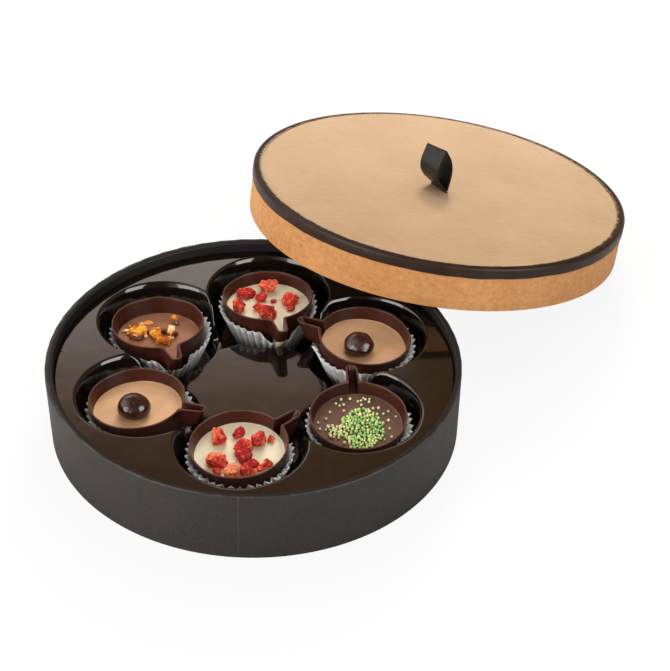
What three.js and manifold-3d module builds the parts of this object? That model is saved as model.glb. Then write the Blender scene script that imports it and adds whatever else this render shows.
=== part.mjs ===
// Round gift box of filled chocolate cups, standing open with its lid leaning on the rim.
// Millimetres, +Z up. The origin is the middle of the underside of the base.
import * as THREE from 'three';
import { mergeVertices } from 'three/addons/utils/BufferGeometryUtils.js';
import Module from 'manifold-3d';

// Base: a board tube and bottom disc, wrapped in textured paper that turns in over the rim
const BASE_RADIUS = 80;
const BASE_HEIGHT = 30;
const BASE_BOARD = 1.4;
const BOTTOM_BOARD = 1.8;
const WRAP_PAPER = 0.3;
const WRAP_TURN_IN = 10;
const WRAP_LIFT = 0.5;
const WRAP_CORNER = 0.25;

// Clearances: a film of glue, a loose seat, and the slide fit of the tray in the base
const GLUE = 0.15;
const SEAT = 0.1;
const TRAY_FIT = 0.3;

// Tray: one formed sheet with a flange, a ring of wells and a centre island in a trough
const TRAY_SHEET = 0.7;
const FLANGE_DROP = 4.3;
const WELL_COUNT = 6;
const WELL_RING = 47.3;
const WELL_RADIUS = 23.4;
const WELL_DRAFT = 2.7;
const WELL_FILLET = 1.8;
const WELL_FLARE = 2;
const FIRST_WELL = 83.1;
const TROUGH_RADIUS = 45;
const TROUGH_DRAFT = 4;
const TROUGH_STEP = 6;
const ISLAND_RADIUS = 27;
const ISLAND_DRAFT = 1.5;
const ISLAND_DROP = 11;
const ISLAND_CORNER = 1.2;

// Pleated paper case in each well
const CASE_ROOM = 3.4;
const CASE_TAPER = 6.5;
const CASE_DROP = 4.5;
const CASE_PAPER = 0.2;
const CASE_WALL = 0.25;
const FLUTE_COUNT = 36;
const FLUTE_DEPTH = 0.8;
const FLUTE_FOOT_DEPTH = 0.3;

// Chocolate cup in each case, with a pinched-out handle whose channel opens into the cup.
// Every cup leans in its case with the handle side up, about a point on its axis
const CUP_ROOM = 1.4;
const CUP_FOOT_ROOM = 1.3;
const CUP_FOOT_FILLET = 1.2;
const CUP_WALL = 1.2;
const CUP_FLOOR = 1.5;
const RIM_DROP = 0.2;
const CUP_LEAN = 3.8;
const LEAN_PIVOT = 19;
const HANDLE_LENGTH = 9.5;
const HANDLE_WIDTH = 4.6;
const HANDLE_DEPTH = 5;
const HANDLE_FLARE = 1.1;
const HANDLE_DRAFT = 1;
const SHELF_SLOPE = 0.3;

// Filling and what lies on it
const FILL_DROP = 5.5;
const LOW_FILL_DROP = 7;
const FILL_FIT = 0.3;
const BIT_HEIGHT = 0.62;
const BIT_ROUGHNESS = 0.34;
const BEAN_SIZE = [12.6, 11.2, 9.4];
const BEAN_SHARE = 0.35;
const BEAN_ANGLE = -106;
const PEARL_RADIUS = 0.75;
const PEARL_PITCH = 1.1;
const PEARL_PATCH = [2.3, 1];
const PEARL_SHARE = 0.32;
const PEARL_ANGLE = -80;

// Lid: a kraft board tube and top disc, with black tape round the top corner
const LID_FIT = 1;
const LID_BOARD = 1.5;
const LID_HEIGHT = 19.2;
const TOP_BOARD = 1.6;
const EDGING_TAPE = 0.3;
const EDGING_DROP = 5.4;
const EDGING_LAP = 1.6;
const EDGING_CORNER = 1.4;
const LEAN_DISTANCE = 137.15;
const LEAN_AZIMUTH = 54.42;
const LEAN_GAP = 0.3;

// Ribbon: a loop above a slit in the top board, with its tails glued flat underneath
const RIBBON_WIDTH = 11.4;
const RIBBON_CLOTH = 0.4;
const RIBBON_HEIGHT = 22;
const RIBBON_BULGE = 8.4;
const RIBBON_FOOT = 2.6;
const RIBBON_LEAN = -12;
const RIBBON_TAIL = 14;
const RIBBON_GAP = 0.6;
const SLIT_ROOM = 0.3;
const SLIT_OFFSET = [-4.7, -1.2];
const SLIT_TURN = -24;

// Steps round the curves
const BOX_STEPS = 48;
const WELL_STEPS = 24;
const CUP_STEPS = 20;
const TIP_STEPS = 4;
const CORNER_STEPS = 1;
const LOOP_STEPS = 28;
const BEAN_STEPS = 12;

// Colours and finish of each material
const FINISH = {
  wrap: { color: 0x3b3938, roughness: 0.85 },
  board: { color: 0x8c8176, roughness: 0.9 },
  tray: { color: 0x2c211c, roughness: 0.12 },
  paper: { color: 0xc9cac6, roughness: 0.6 },
  chocolate: { color: 0x4b2a26, roughness: 0.4 },
  kraft: { color: 0xdcb58a, roughness: 0.85 },
  edging: { color: 0x2b2724, roughness: 0.55 },
  ribbon: { color: 0x1d1917, roughness: 0.45 },
  strawberry: { color: 0xc8321f, roughness: 0.6 },
  brittle: { color: 0xc46a1c, roughness: 0.3 },
  bean: { color: 0x3a1d1a, roughness: 0.2 },
  pearl: { color: 0xa9a03c, roughness: 0.3 },
  cream: { color: 0xe2d8ba, roughness: 0.5 },
  caramel: { color: 0xcc9a6e, roughness: 0.45 },
  truffle: { color: 0x694539, roughness: 0.5 },
  milk: { color: 0x966a50, roughness: 0.5 },
};

// Toppings as angle in degrees, share of the free radius, and width
const BACK_BERRIES = [
  [143, 0.94, 5.9], [87, 0.94, 7], [18, 0.84, 7.2], [-21, 0.75, 3.2], [131, 0.33, 4.8],
  [44, 0.25, 2.6], [-168, 0.97, 6], [-148, 0.36, 4.8], [-95, 0.69, 6.4],
];
const FRONT_BERRIES = [
  [132, 0.93, 6.8], [92, 0.77, 4.8], [41, 0.84, 6.4], [54, 0.17, 6], [-69, 0.31, 5],
  [-156, 0.77, 7.4], [-131, 0.93, 3], [-104, 0.88, 5.2], [-78, 0.88, 3.8], [-34, 0.93, 4.4],
];
const BRITTLE_CRUMBS = [
  [165, 0.94, 2.2], [174, 0.68, 4.9], [123, 0.68, 3], [139, 0.41, 2.4], [-166, 0.06, 3.9],
  [-65, 0.42, 4.6], [53, 0.23, 2.7], [27, 0.46, 3.4], [58, 0.85, 3.4], [-6, 0.55, 2.5],
];

// Chocolates clockwise from the back: handle direction, shift in the well, filling and toppings
const CHOCOLATES = [
  { handle: -77.5, shift: [-0.35, -0.6], filling: 'cream', bits: BACK_BERRIES, bitName: 'strawberry' },
  { handle: 161, shift: [-0.35, 0.95], filling: 'caramel', bean: true },
  { handle: 93.5, shift: [0.9, -0.85], filling: 'truffle', pearls: true },
  { handle: 35.7, shift: [-0.25, 1.65], filling: 'cream', bits: FRONT_BERRIES, bitName: 'strawberry' },
  { handle: -18.9, shift: [-1.2, -0.4], filling: 'caramel', bean: true },
  { handle: -71.6, shift: [-0.95, 0], filling: 'milk', bits: BRITTLE_CRUMBS, bitName: 'brittle', low: true },
];

const radians = THREE.MathUtils.degToRad;

// Sizes and levels that follow from the values above
const WALL_OUTSIDE = BASE_RADIUS - WRAP_PAPER - GLUE;
const WALL_INSIDE = WALL_OUTSIDE - BASE_BOARD;
const WALL_TOP = BASE_HEIGHT - WRAP_PAPER - GLUE;
const WRAP_INSIDE = WALL_INSIDE - GLUE - WRAP_PAPER;
const FLANGE_RADIUS = WRAP_INSIDE - TRAY_FIT;
const FLANGE_TOP = BASE_HEIGHT - FLANGE_DROP;
const WELL_FLOOR = BOTTOM_BOARD + SEAT + TRAY_SHEET;
const ISLAND_TOP = FLANGE_TOP - ISLAND_DROP;
const TROUGH_FLOOR = WELL_FLOOR + TROUGH_STEP;
const CASE_FOOT = WELL_FLOOR + SEAT;
const CASE_RADIUS = WELL_RADIUS - CASE_ROOM;
const CASE_FOOT_RADIUS = CASE_RADIUS - CASE_TAPER;
const RIM_LEVEL = FLANGE_TOP - RIM_DROP;
const CASE_TOP = RIM_LEVEL - CASE_DROP;
const CUP_RADIUS = CASE_RADIUS - CUP_ROOM;
const CUP_FOOT_RADIUS = CASE_FOOT_RADIUS - CUP_FOOT_ROOM;
const CUP_FOOT_LIFT = (CUP_FOOT_RADIUS - CUP_FOOT_FILLET) * Math.sin(radians(CUP_LEAN));
const CUP_FOOT = CASE_FOOT + CASE_PAPER + SEAT + CUP_FOOT_LIFT;
const HANDLE_SHELF = RIM_LEVEL - HANDLE_DEPTH;
const LID_INSIDE = BASE_RADIUS + LID_FIT;
const LID_RADIUS = LID_INSIDE + LID_BOARD;
const TOP_UNDERSIDE = LID_HEIGHT - TOP_BOARD;

const wasm = await Module();
wasm.setup();

// Solid for joining and cutting, from a closed geometry
function solid(geometry) {
  const bare = geometry.clone();
  bare.deleteAttribute('normal');
  bare.deleteAttribute('uv');
  const merged = mergeVertices(bare);
  const index = merged.index.array;
  const triangles = [];
  for (let i = 0; i < index.length; i += 3) {
    const [a, b, c] = [index[i], index[i + 1], index[i + 2]];
    if (a !== b && b !== c && c !== a) {
      triangles.push(a, b, c);
    }
  }
  const vertProperties = new Float32Array(merged.attributes.position.array);
  return new wasm.Manifold(new wasm.Mesh({ numProp: 3, vertProperties, triVerts: new Uint32Array(triangles) }));
}

// Geometry from a list of points and a list of triangles
function geometryOf(positions, triangles) {
  const geometry = new THREE.BufferGeometry();
  geometry.setAttribute('position', new THREE.Float32BufferAttribute(positions, 3));
  geometry.setIndex(Array.from(triangles));
  geometry.computeVertexNormals();
  return geometry;
}

function fromSolid(body) {
  const mesh = body.getMesh();
  return geometryOf(mesh.vertProperties, mesh.triVerts);
}

// Turned shape from a profile of radius and height, listed up its outside
function turned(profile, steps) {
  const points = profile.map(([radius, height]) => new THREE.Vector2(radius, height));
  return new THREE.LatheGeometry(points, steps).rotateX(Math.PI / 2);
}

function ringProfile(profile) {
  return [...profile, profile[0]];
}

// Points along a round corner of a profile, both ends included
function corner(centreRadius, centreHeight, radius, fromDegrees, toDegrees) {
  return Array.from({ length: CORNER_STEPS + 1 }, (_, step) => {
    const angle = radians(fromDegrees + ((toDegrees - fromDegrees) * step) / CORNER_STEPS);
    return [centreRadius + radius * Math.cos(angle), centreHeight + radius * Math.sin(angle)];
  });
}

// Closed skin through rings of equal count, with a flat fan over the first and the last
function loft(rings) {
  const count = rings[0].length;
  const positions = rings.flat(2);
  const triangles = [];
  for (let ring = 0; ring + 1 < rings.length; ring += 1) {
    for (let i = 0; i < count; i += 1) {
      const here = ring * count + i;
      const next = ring * count + ((i + 1) % count);
      triangles.push(here, next, next + count, here, next + count, here + count);
    }
  }
  const first = positions.length / 3;
  const last = first + 1;
  positions.push(0, 0, rings[0][0][2], 0, 0, rings.at(-1)[0][2]);
  const lastRing = (rings.length - 1) * count;
  for (let i = 0; i < count; i += 1) {
    const next = (i + 1) % count;
    triangles.push(first, next, i, last, lastRing + i, lastRing + next);
  }
  return geometryOf(positions, triangles);
}

function piece(name, geometry, finish) {
  const material = new THREE.MeshStandardMaterial({ ...FINISH[finish], metalness: 0 });
  const mesh = new THREE.Mesh(geometry, material);
  mesh.name = name;
  return mesh;
}

// Base wall, bottom and wrap
function baseWall() {
  const profile = [[WALL_OUTSIDE, 0], [WALL_OUTSIDE, WALL_TOP], [WALL_INSIDE, WALL_TOP], [WALL_INSIDE, 0]];
  return turned(ringProfile(profile), BOX_STEPS);
}

function baseBottom() {
  const radius = WALL_INSIDE - GLUE;
  return turned([[0, 0], [radius, 0], [radius, BOTTOM_BOARD], [0, BOTTOM_BOARD]], BOX_STEPS);
}

function baseWrap() {
  const turnInFoot = BASE_HEIGHT - WRAP_TURN_IN;
  const profile = [
    [BASE_RADIUS, WRAP_LIFT],
    [BASE_RADIUS, BASE_HEIGHT - WRAP_CORNER],
    [BASE_RADIUS - WRAP_CORNER, BASE_HEIGHT],
    [WRAP_INSIDE + WRAP_CORNER, BASE_HEIGHT],
    [WRAP_INSIDE, BASE_HEIGHT - WRAP_CORNER],
    [WRAP_INSIDE, turnInFoot],
    [WRAP_INSIDE + WRAP_PAPER, turnInFoot],
    [WRAP_INSIDE + WRAP_PAPER, BASE_HEIGHT - WRAP_PAPER],
    [BASE_RADIUS - WRAP_PAPER, BASE_HEIGHT - WRAP_PAPER],
    [BASE_RADIUS - WRAP_PAPER, WRAP_LIFT],
  ];
  return turned(ringProfile(profile), BOX_STEPS);
}

// Middle of a well, counted clockwise from the back
function wellCentre(index) {
  const angle = radians(FIRST_WELL - (360 / WELL_COUNT) * index);
  return [WELL_RING * Math.cos(angle), WELL_RING * Math.sin(angle)];
}

// Space of one well, or with sheet > 0 the same space and the sheet round it
function wellProfile(sheet) {
  const floor = WELL_FLOOR - sheet;
  const footRadius = WELL_RADIUS - WELL_DRAFT + sheet;
  const fillet = WELL_FILLET + sheet;
  const flare = WELL_FLARE - sheet;
  const flareCentre = WELL_RADIUS + WELL_FLARE;
  const roof = sheet > 0 ? FLANGE_TOP : FLANGE_TOP + WELL_FLARE;
  return [
    [0, floor],
    ...corner(footRadius - fillet, floor + fillet, fillet, -90, 0),
    ...corner(flareCentre, FLANGE_TOP - WELL_FLARE, flare, 180, 90),
    [flareCentre, roof],
    [0, roof],
  ];
}

// Space over the trough and island, or with sheet > 0 the same space and the sheet under it
function centreProfile(sheet) {
  const islandTop = ISLAND_TOP - sheet;
  const troughFloor = TROUGH_FLOOR - sheet;
  const roof = sheet > 0 ? FLANGE_TOP : FLANGE_TOP + WELL_FLARE;
  const edge = ISLAND_RADIUS - sheet;
  return [
    [0, islandTop],
    [edge - ISLAND_CORNER, islandTop],
    [edge, islandTop - ISLAND_CORNER],
    [edge + ISLAND_DRAFT, troughFloor],
    [TROUGH_RADIUS - TROUGH_DRAFT + sheet, troughFloor],
    [TROUGH_RADIUS + sheet, roof],
    [0, roof],
  ];
}

function tray() {
  const underside = FLANGE_TOP - TRAY_SHEET;
  const flange = [[0, underside], [FLANGE_RADIUS, underside], [FLANGE_RADIUS, FLANGE_TOP], [0, FLANGE_TOP]];
  let body = solid(turned(flange, BOX_STEPS)).add(solid(turned(centreProfile(TRAY_SHEET), BOX_STEPS)));
  let space = solid(turned(centreProfile(0), BOX_STEPS));
  for (let index = 0; index < WELL_COUNT; index += 1) {
    const [x, y] = wellCentre(index);
    body = body.add(solid(turned(wellProfile(TRAY_SHEET), WELL_STEPS).translate(x, y, 0)));
    space = space.add(solid(turned(wellProfile(0), WELL_STEPS).translate(x, y, 0)));
  }
  return fromSolid(body.subtract(space));
}

// One ring of a pleated wall, in and out by the flute depth
function pleatedRing(radius, depth, height) {
  return Array.from({ length: 2 * FLUTE_COUNT }, (_, i) => {
    const angle = (Math.PI * i) / FLUTE_COUNT;
    const out = radius + (i % 2 === 0 ? depth : -depth);
    return [out * Math.cos(angle), out * Math.sin(angle), height];
  });
}

function paperCase() {
  return loft([
    pleatedRing(CASE_FOOT_RADIUS, FLUTE_FOOT_DEPTH, CASE_FOOT),
    pleatedRing(CASE_RADIUS, FLUTE_DEPTH, CASE_TOP),
    pleatedRing(CASE_RADIUS - CASE_WALL, FLUTE_DEPTH, CASE_TOP),
    pleatedRing(CASE_FOOT_RADIUS - CASE_WALL, FLUTE_FOOT_DEPTH, CASE_FOOT + CASE_PAPER),
  ]);
}

// Outline of a cup seen from above: a circle, pinched out along +X into a round-ended loop
function cupOutline(radius, reach, halfWidth) {
  const mouth = Math.asin((halfWidth + HANDLE_FLARE) / radius);
  const circle = Array.from({ length: CUP_STEPS + 1 }, (_, step) => {
    const angle = mouth + ((2 * Math.PI - 2 * mouth) * step) / CUP_STEPS;
    return [radius * Math.cos(angle), radius * Math.sin(angle)];
  });
  const tipCentre = reach - halfWidth;
  const tip = Array.from({ length: TIP_STEPS + 1 }, (_, step) => {
    const angle = Math.PI * (step / TIP_STEPS - 0.5);
    return [tipCentre + halfWidth * Math.cos(angle), halfWidth * Math.sin(angle)];
  });
  const root = radius + HANDLE_FLARE;
  return [...circle, [root, -halfWidth], ...tip, [root, halfWidth]];
}

// Outline with the handle's points drawn back onto the circle
function plainOutline(radius, halfWidth) {
  const mouth = Math.asin((halfWidth + HANDLE_FLARE) / radius);
  return cupOutline(radius, radius + halfWidth, halfWidth).map((point, i) => {
    const loopStep = i - CUP_STEPS;
    const angle = -mouth + (2 * mouth * loopStep) / (TIP_STEPS + 4);
    return loopStep > 0 ? [radius * Math.cos(angle), radius * Math.sin(angle)] : point;
  });
}

function cupRadiusAt(height) {
  const share = (height - CUP_FOOT - CUP_FOOT_FILLET) / (RIM_LEVEL - CUP_FOOT - CUP_FOOT_FILLET);
  return CUP_FOOT_RADIUS + (CUP_RADIUS - CUP_FOOT_RADIUS) * share;
}

function level(outline, height) {
  return outline.map(([x, y]) => [x, y, height]);
}

// Upright chocolate cup with its handle along +X
function chocolateCup() {
  const halfWidth = HANDLE_WIDTH / 2;
  const innerHalf = halfWidth - CUP_WALL;
  const reach = CUP_RADIUS + HANDLE_LENGTH;
  const shelfTop = HANDLE_SHELF + SHELF_SLOPE;
  const channelFloor = shelfTop + CUP_WALL;
  const innerRadiusAt = (height) => cupRadiusAt(height) - CUP_WALL;
  const cupFloor = CUP_FOOT + CUP_FLOOR;
  return loft([
    level(plainOutline(CUP_FOOT_RADIUS - CUP_FOOT_FILLET, halfWidth), CUP_FOOT),
    level(plainOutline(CUP_FOOT_RADIUS, halfWidth), CUP_FOOT + CUP_FOOT_FILLET),
    level(plainOutline(cupRadiusAt(HANDLE_SHELF), halfWidth), HANDLE_SHELF),
    level(cupOutline(cupRadiusAt(shelfTop), reach - HANDLE_DRAFT, halfWidth), shelfTop),
    level(cupOutline(CUP_RADIUS, reach, halfWidth), RIM_LEVEL),
    level(cupOutline(CUP_RADIUS - CUP_WALL, reach - CUP_WALL, innerHalf), RIM_LEVEL),
    level(cupOutline(innerRadiusAt(channelFloor), reach - HANDLE_DRAFT - CUP_WALL, innerHalf), channelFloor),
    level(plainOutline(innerRadiusAt(channelFloor - SHELF_SLOPE), innerHalf), channelFloor - SHELF_SLOPE),
    level(plainOutline(innerRadiusAt(cupFloor), innerHalf), cupFloor),
  ]);
}

function fillLevel(chocolate) {
  return RIM_LEVEL - (chocolate.low ? LOW_FILL_DROP : FILL_DROP);
}

function freeRadius(height) {
  return cupRadiusAt(height) - CUP_WALL - FILL_FIT;
}

function filling(chocolate) {
  const foot = CUP_FOOT + CUP_FLOOR + SEAT;
  const top = fillLevel(chocolate);
  return turned([[0, foot], [freeRadius(foot), foot], [freeRadius(top), top], [0, top]], CUP_STEPS);
}

// Place on a filling, by angle and share of the radius that a topping of this width leaves free
function onFilling(chocolate, angle, share, width) {
  const top = fillLevel(chocolate);
  const out = share * (freeRadius(top) - width / 2);
  return [out * Math.cos(radians(angle)), out * Math.sin(radians(angle)), top + SEAT];
}

// Broken crumb: a rough ball pressed flat, standing on z = 0
function crumb(width, seed) {
  const geometry = new THREE.IcosahedronGeometry(1, 0);
  const points = geometry.attributes.position;
  const corner3 = new THREE.Vector3();
  for (let i = 0; i < points.count; i += 1) {
    corner3.fromBufferAttribute(points, i);
    const noise = 0.5 + 0.5 * Math.sin(seed + 5 * corner3.x + 7 * corner3.y + 11 * corner3.z);
    corner3.multiplyScalar(1 - BIT_ROUGHNESS * noise);
    points.setXYZ(i, corner3.x, corner3.y, corner3.z);
  }
  geometry.scale(width / 2, width / 2, (BIT_HEIGHT * width) / 2);
  geometry.computeBoundingBox();
  return geometry.translate(0, 0, -geometry.boundingBox.min.z);
}

function bean() {
  const [length, width, height] = BEAN_SIZE;
  const ball = new THREE.SphereGeometry(1, BEAN_STEPS, BEAN_STEPS / 2).rotateX(Math.PI / 2);
  return ball.scale(length / 2, width / 2, height / 2).translate(0, 0, height / 2);
}

// Pearls lying close enough to touch, in staggered rows over an oval patch
function pearlPatch() {
  const [halfLength, halfWidth] = PEARL_PATCH;
  const rowPitch = PEARL_PITCH * Math.sin(Math.PI / 3);
  const rows = Math.floor(halfWidth / rowPitch);
  const columns = Math.floor(halfLength / PEARL_PITCH);
  let patch = solid(new THREE.IcosahedronGeometry(PEARL_RADIUS, 0));
  for (let row = -rows; row <= rows; row += 1) {
    for (let column = -columns; column <= columns; column += 1) {
      const x = PEARL_PITCH * (column + (row % 2 === 0 ? 0 : 0.5));
      const y = rowPitch * row;
      if (Math.hypot(x / halfLength, y / halfWidth) <= 1) {
        patch = patch.add(solid(new THREE.IcosahedronGeometry(PEARL_RADIUS, 0).translate(x, y, 0)));
      }
    }
  }
  return fromSolid(patch.translate(0, 0, PEARL_RADIUS));
}

function toppings(chocolate, number) {
  const pieces = [];
  (chocolate.bits ?? []).forEach(([angle, share, width], i) => {
    const bit = piece(`${chocolate.bitName}_${number}_${i + 1}`, crumb(width, number + i), chocolate.bitName);
    bit.position.set(...onFilling(chocolate, angle, share, width));
    pieces.push(bit);
  });
  if (chocolate.bean) {
    const coated = piece(`coffee_bean_${number}`, bean(), 'bean');
    coated.position.set(...onFilling(chocolate, BEAN_ANGLE, BEAN_SHARE, BEAN_SIZE[0]));
    pieces.push(coated);
  }
  if (chocolate.pearls) {
    const pearls = piece(`sugar_pearls_${number}`, pearlPatch(), 'pearl');
    pearls.position.set(...onFilling(chocolate, PEARL_ANGLE, PEARL_SHARE, 2 * PEARL_PATCH[0]));
    pieces.push(pearls);
  }
  return pieces;
}

// Case, cup, filling and toppings of one well
function filledWell(chocolate, index) {
  const number = index + 1;
  const [x, y] = wellCentre(index);
  const group = new THREE.Group();
  group.position.set(x + chocolate.shift[0], y + chocolate.shift[1], 0);
  const cup = piece(`chocolate_cup_${number}`, chocolateCup(), 'chocolate');
  const contents = new THREE.Group();
  contents.rotation.z = -radians(chocolate.handle);
  contents.add(piece(`filling_${number}`, filling(chocolate), chocolate.filling), ...toppings(chocolate, number));
  const leaning = new THREE.Group();
  leaning.rotation.y = -radians(CUP_LEAN);
  leaning.position.set(0, 0, LEAN_PIVOT).sub(new THREE.Vector3(0, 0, LEAN_PIVOT).applyEuler(leaning.rotation));
  leaning.add(cup, contents);
  const turn = new THREE.Group();
  turn.rotation.z = radians(chocolate.handle);
  turn.add(leaning);
  group.add(piece(`paper_case_${number}`, paperCase(), 'paper'), turn);
  return group;
}

// How far out, along the lean, the lid's lower edge crosses the outside of the base's rim
function rimCrossing(tilt) {
  const flat = 1 / Math.cos(tilt) ** 2;
  const a = flat - 1;
  const b = -2 * LEAN_DISTANCE * flat;
  const c = LEAN_DISTANCE ** 2 * flat - LID_INSIDE ** 2 + BASE_RADIUS ** 2;
  return (-b - Math.sqrt(b * b - 4 * a * c)) / (2 * a);
}

// Tilt at which the lid's far edge stands on the table and its near edge clears the rim by the gap
function leanTilt() {
  let low = radians(1);
  let high = radians(40);
  while (high - low > Number.EPSILON * 4) {
    const tilt = (low + high) / 2;
    const edge = LID_RADIUS * Math.sin(tilt) + (LEAN_DISTANCE - rimCrossing(tilt)) * Math.tan(tilt);
    if (edge < BASE_HEIGHT + LEAN_GAP) {
      low = tilt;
    } else {
      high = tilt;
    }
  }
  return high;
}

function lidSkirt() {
  const top = TOP_UNDERSIDE - GLUE;
  return turned(ringProfile([[LID_RADIUS, 0], [LID_RADIUS, top], [LID_INSIDE, top], [LID_INSIDE, 0]]), BOX_STEPS);
}

// Moves a shape onto the slit, with the slit along its Y
function onSlit(shape) {
  return shape.rotateZ(radians(SLIT_TURN)).translate(...SLIT_OFFSET, 0);
}

function lidTopBoard() {
  const round = EDGING_CORNER - EDGING_TAPE - GLUE;
  const disc = turned([
    [0, TOP_UNDERSIDE],
    [LID_RADIUS, TOP_UNDERSIDE],
    ...corner(LID_RADIUS - round, LID_HEIGHT - round, round, 0, 90),
    [0, LID_HEIGHT],
  ], BOX_STEPS);
  const slit = new THREE.BoxGeometry(2 * RIBBON_CLOTH + 2 * SLIT_ROOM, RIBBON_WIDTH + 2 * SLIT_ROOM, 4 * TOP_BOARD);
  return fromSolid(solid(disc).subtract(solid(onSlit(slit.translate(0, 0, LID_HEIGHT)))));
}

function lidEdging() {
  const inside = LID_RADIUS + GLUE;
  const under = LID_HEIGHT + GLUE;
  const round = EDGING_CORNER;
  const centre = [inside + EDGING_TAPE - round, under + EDGING_TAPE - round];
  const foot = LID_HEIGHT - EDGING_DROP;
  const lap = LID_RADIUS - EDGING_LAP;
  return turned(ringProfile([
    [inside + EDGING_TAPE, foot],
    ...corner(...centre, round, 0, 90),
    [lap, under + EDGING_TAPE],
    [lap, under],
    ...corner(...centre, round - EDGING_TAPE, 90, 0),
    [inside, foot],
  ]), BOX_STEPS);
}

// Strip of ribbon from an outline of its section: the outline's x lies across the slit, y stands up
function ribbonStrip(outline) {
  const strip = new THREE.ExtrudeGeometry(outline, { depth: RIBBON_WIDTH, bevelEnabled: false });
  return strip.translate(0, 0, -RIBBON_WIDTH / 2).rotateX(Math.PI / 2);
}

// Teardrop that stands on its point
function teardrop(bulge, foot, top) {
  return Array.from({ length: LOOP_STEPS }, (_, step) => {
    const turn = (2 * Math.PI * step) / LOOP_STEPS;
    const x = (bulge / 2) * Math.sin(turn) * Math.abs(Math.sin(turn / 2));
    return new THREE.Vector2(x, foot + ((top - foot) * (1 - Math.cos(turn))) / 2);
  });
}

function ribbonLoop() {
  const section = new THREE.Shape(teardrop(RIBBON_BULGE + 2 * RIBBON_CLOTH, 0, RIBBON_HEIGHT));
  section.holes.push(new THREE.Path(teardrop(RIBBON_BULGE, RIBBON_FOOT, RIBBON_HEIGHT - RIBBON_CLOTH)));
  return ribbonStrip(section);
}

// Both ends of the ribbon in the slit, turned apart and lying flat under the top board
function ribbonTails() {
  const tailTop = TOP_UNDERSIDE - GLUE;
  const tailFoot = tailTop - RIBBON_CLOTH;
  const legTop = LID_HEIGHT + SLIT_ROOM;
  const half = [
    [RIBBON_TAIL, tailFoot], [RIBBON_TAIL, tailTop], [RIBBON_CLOTH, tailTop], [RIBBON_CLOTH, legTop],
  ];
  const mirrored = half.map(([x, y]) => [-x, y]).reverse();
  const section = new THREE.Shape([...half, ...mirrored].map(([x, y]) => new THREE.Vector2(x, y)));
  return onSlit(ribbonStrip(section));
}

function lid() {
  const tilt = leanTilt();
  const group = new THREE.Group();
  group.position.set(LEAN_DISTANCE, 0, LID_RADIUS * Math.sin(tilt) + SEAT);
  group.rotation.y = tilt;
  group.add(piece('lid_skirt', lidSkirt(), 'kraft'), piece('lid_top_board', lidTopBoard(), 'kraft'));
  group.add(piece('lid_edging', lidEdging(), 'edging'), piece('ribbon_tails', ribbonTails(), 'ribbon'));
  const loop = piece('ribbon_loop', ribbonLoop(), 'ribbon');
  loop.rotation.y = radians(RIBBON_LEAN);
  const foot = new THREE.Group();
  foot.position.set(...SLIT_OFFSET, LID_HEIGHT + RIBBON_GAP);
  foot.rotation.z = radians(SLIT_TURN);
  foot.add(loop);
  group.add(foot);
  const lean = new THREE.Group();
  lean.rotation.z = radians(LEAN_AZIMUTH);
  lean.add(group);
  return lean;
}

const box = new THREE.Group();
box.add(piece('base_wall', baseWall(), 'board'), piece('base_bottom', baseBottom(), 'board'));
box.add(piece('base_wrap', baseWrap(), 'wrap'), piece('tray', tray(), 'tray'));
CHOCOLATES.forEach((chocolate, index) => box.add(filledWell(chocolate, index)));
box.add(lid());

export default box;
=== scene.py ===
"""Looks of a round gift box of six filled chocolate cups, open, with its lid leaning on the rim."""

import bisect
import random
from collections import namedtuple
from math import atan2, cos, degrees, hypot, inf, pi, radians, sin, sqrt, tau

import bmesh
import bpy
from mathutils import Matrix, Vector, noise


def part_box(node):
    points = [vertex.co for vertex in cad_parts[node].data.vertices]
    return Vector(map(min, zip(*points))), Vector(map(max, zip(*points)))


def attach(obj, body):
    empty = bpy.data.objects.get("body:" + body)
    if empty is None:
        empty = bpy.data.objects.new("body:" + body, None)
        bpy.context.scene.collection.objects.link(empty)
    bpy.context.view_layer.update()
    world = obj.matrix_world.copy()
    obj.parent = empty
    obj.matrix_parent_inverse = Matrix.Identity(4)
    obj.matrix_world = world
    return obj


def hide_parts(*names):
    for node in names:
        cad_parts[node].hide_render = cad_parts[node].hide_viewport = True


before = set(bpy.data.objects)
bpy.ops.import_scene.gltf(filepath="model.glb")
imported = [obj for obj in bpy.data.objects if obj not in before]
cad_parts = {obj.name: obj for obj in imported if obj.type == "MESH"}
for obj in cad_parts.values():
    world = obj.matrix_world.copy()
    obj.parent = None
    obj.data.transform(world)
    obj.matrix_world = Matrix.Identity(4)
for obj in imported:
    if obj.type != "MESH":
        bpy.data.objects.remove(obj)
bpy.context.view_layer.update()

# Sizes are millimetres and degrees, as in the part's source
MM = 0.001
BASE_RADIUS = 80.0
BASE_HEIGHT = 30.0
WRAP_INSIDE = 77.7
WRAP_PAPER = 0.3
WRAP_LIFT = 0.5
WRAP_TURN_IN = 10.0
RIM_ROUND = 0.7
TAB_STEP = 6.0
TAB_LIFT = 0.16
TAB_DRAWN_IN = 0.0016
BULGE_TOWARD = 135.0
BULGE_SHARE = 0.0105
SEAM = -6.4

FLANGE_RADIUS = 77.2
FLANGE_TOP = 25.7
FLANGE_EDGE = ((0.08, 0.06), (0.12, 0.22), (0.12, 0.8))
TRAY_SHEET = 0.7
WELL_COUNT = 6
WELL_RING = 47.3
WELL_RADIUS = 23.4
WELL_FLOOR = 2.6
WELL_DRAFT = 2.7
WELL_FILLET = 1.8
WELL_FLARE = 2.2
WELL_BLEND = 14
FLARE_DEPTH = 8.0
WELLS_PULLED = 2.0
FIRST_WELL = 83.1
TROUGH_RADIUS = 45.0
TROUGH_DRAFT = 4.0
TROUGH_FLOOR = 8.6
ISLAND_RADIUS = 27.9
ISLAND_DRAFT = 1.2
ISLAND_TOP = 15.6
ISLAND_ROUND = 0.8

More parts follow.
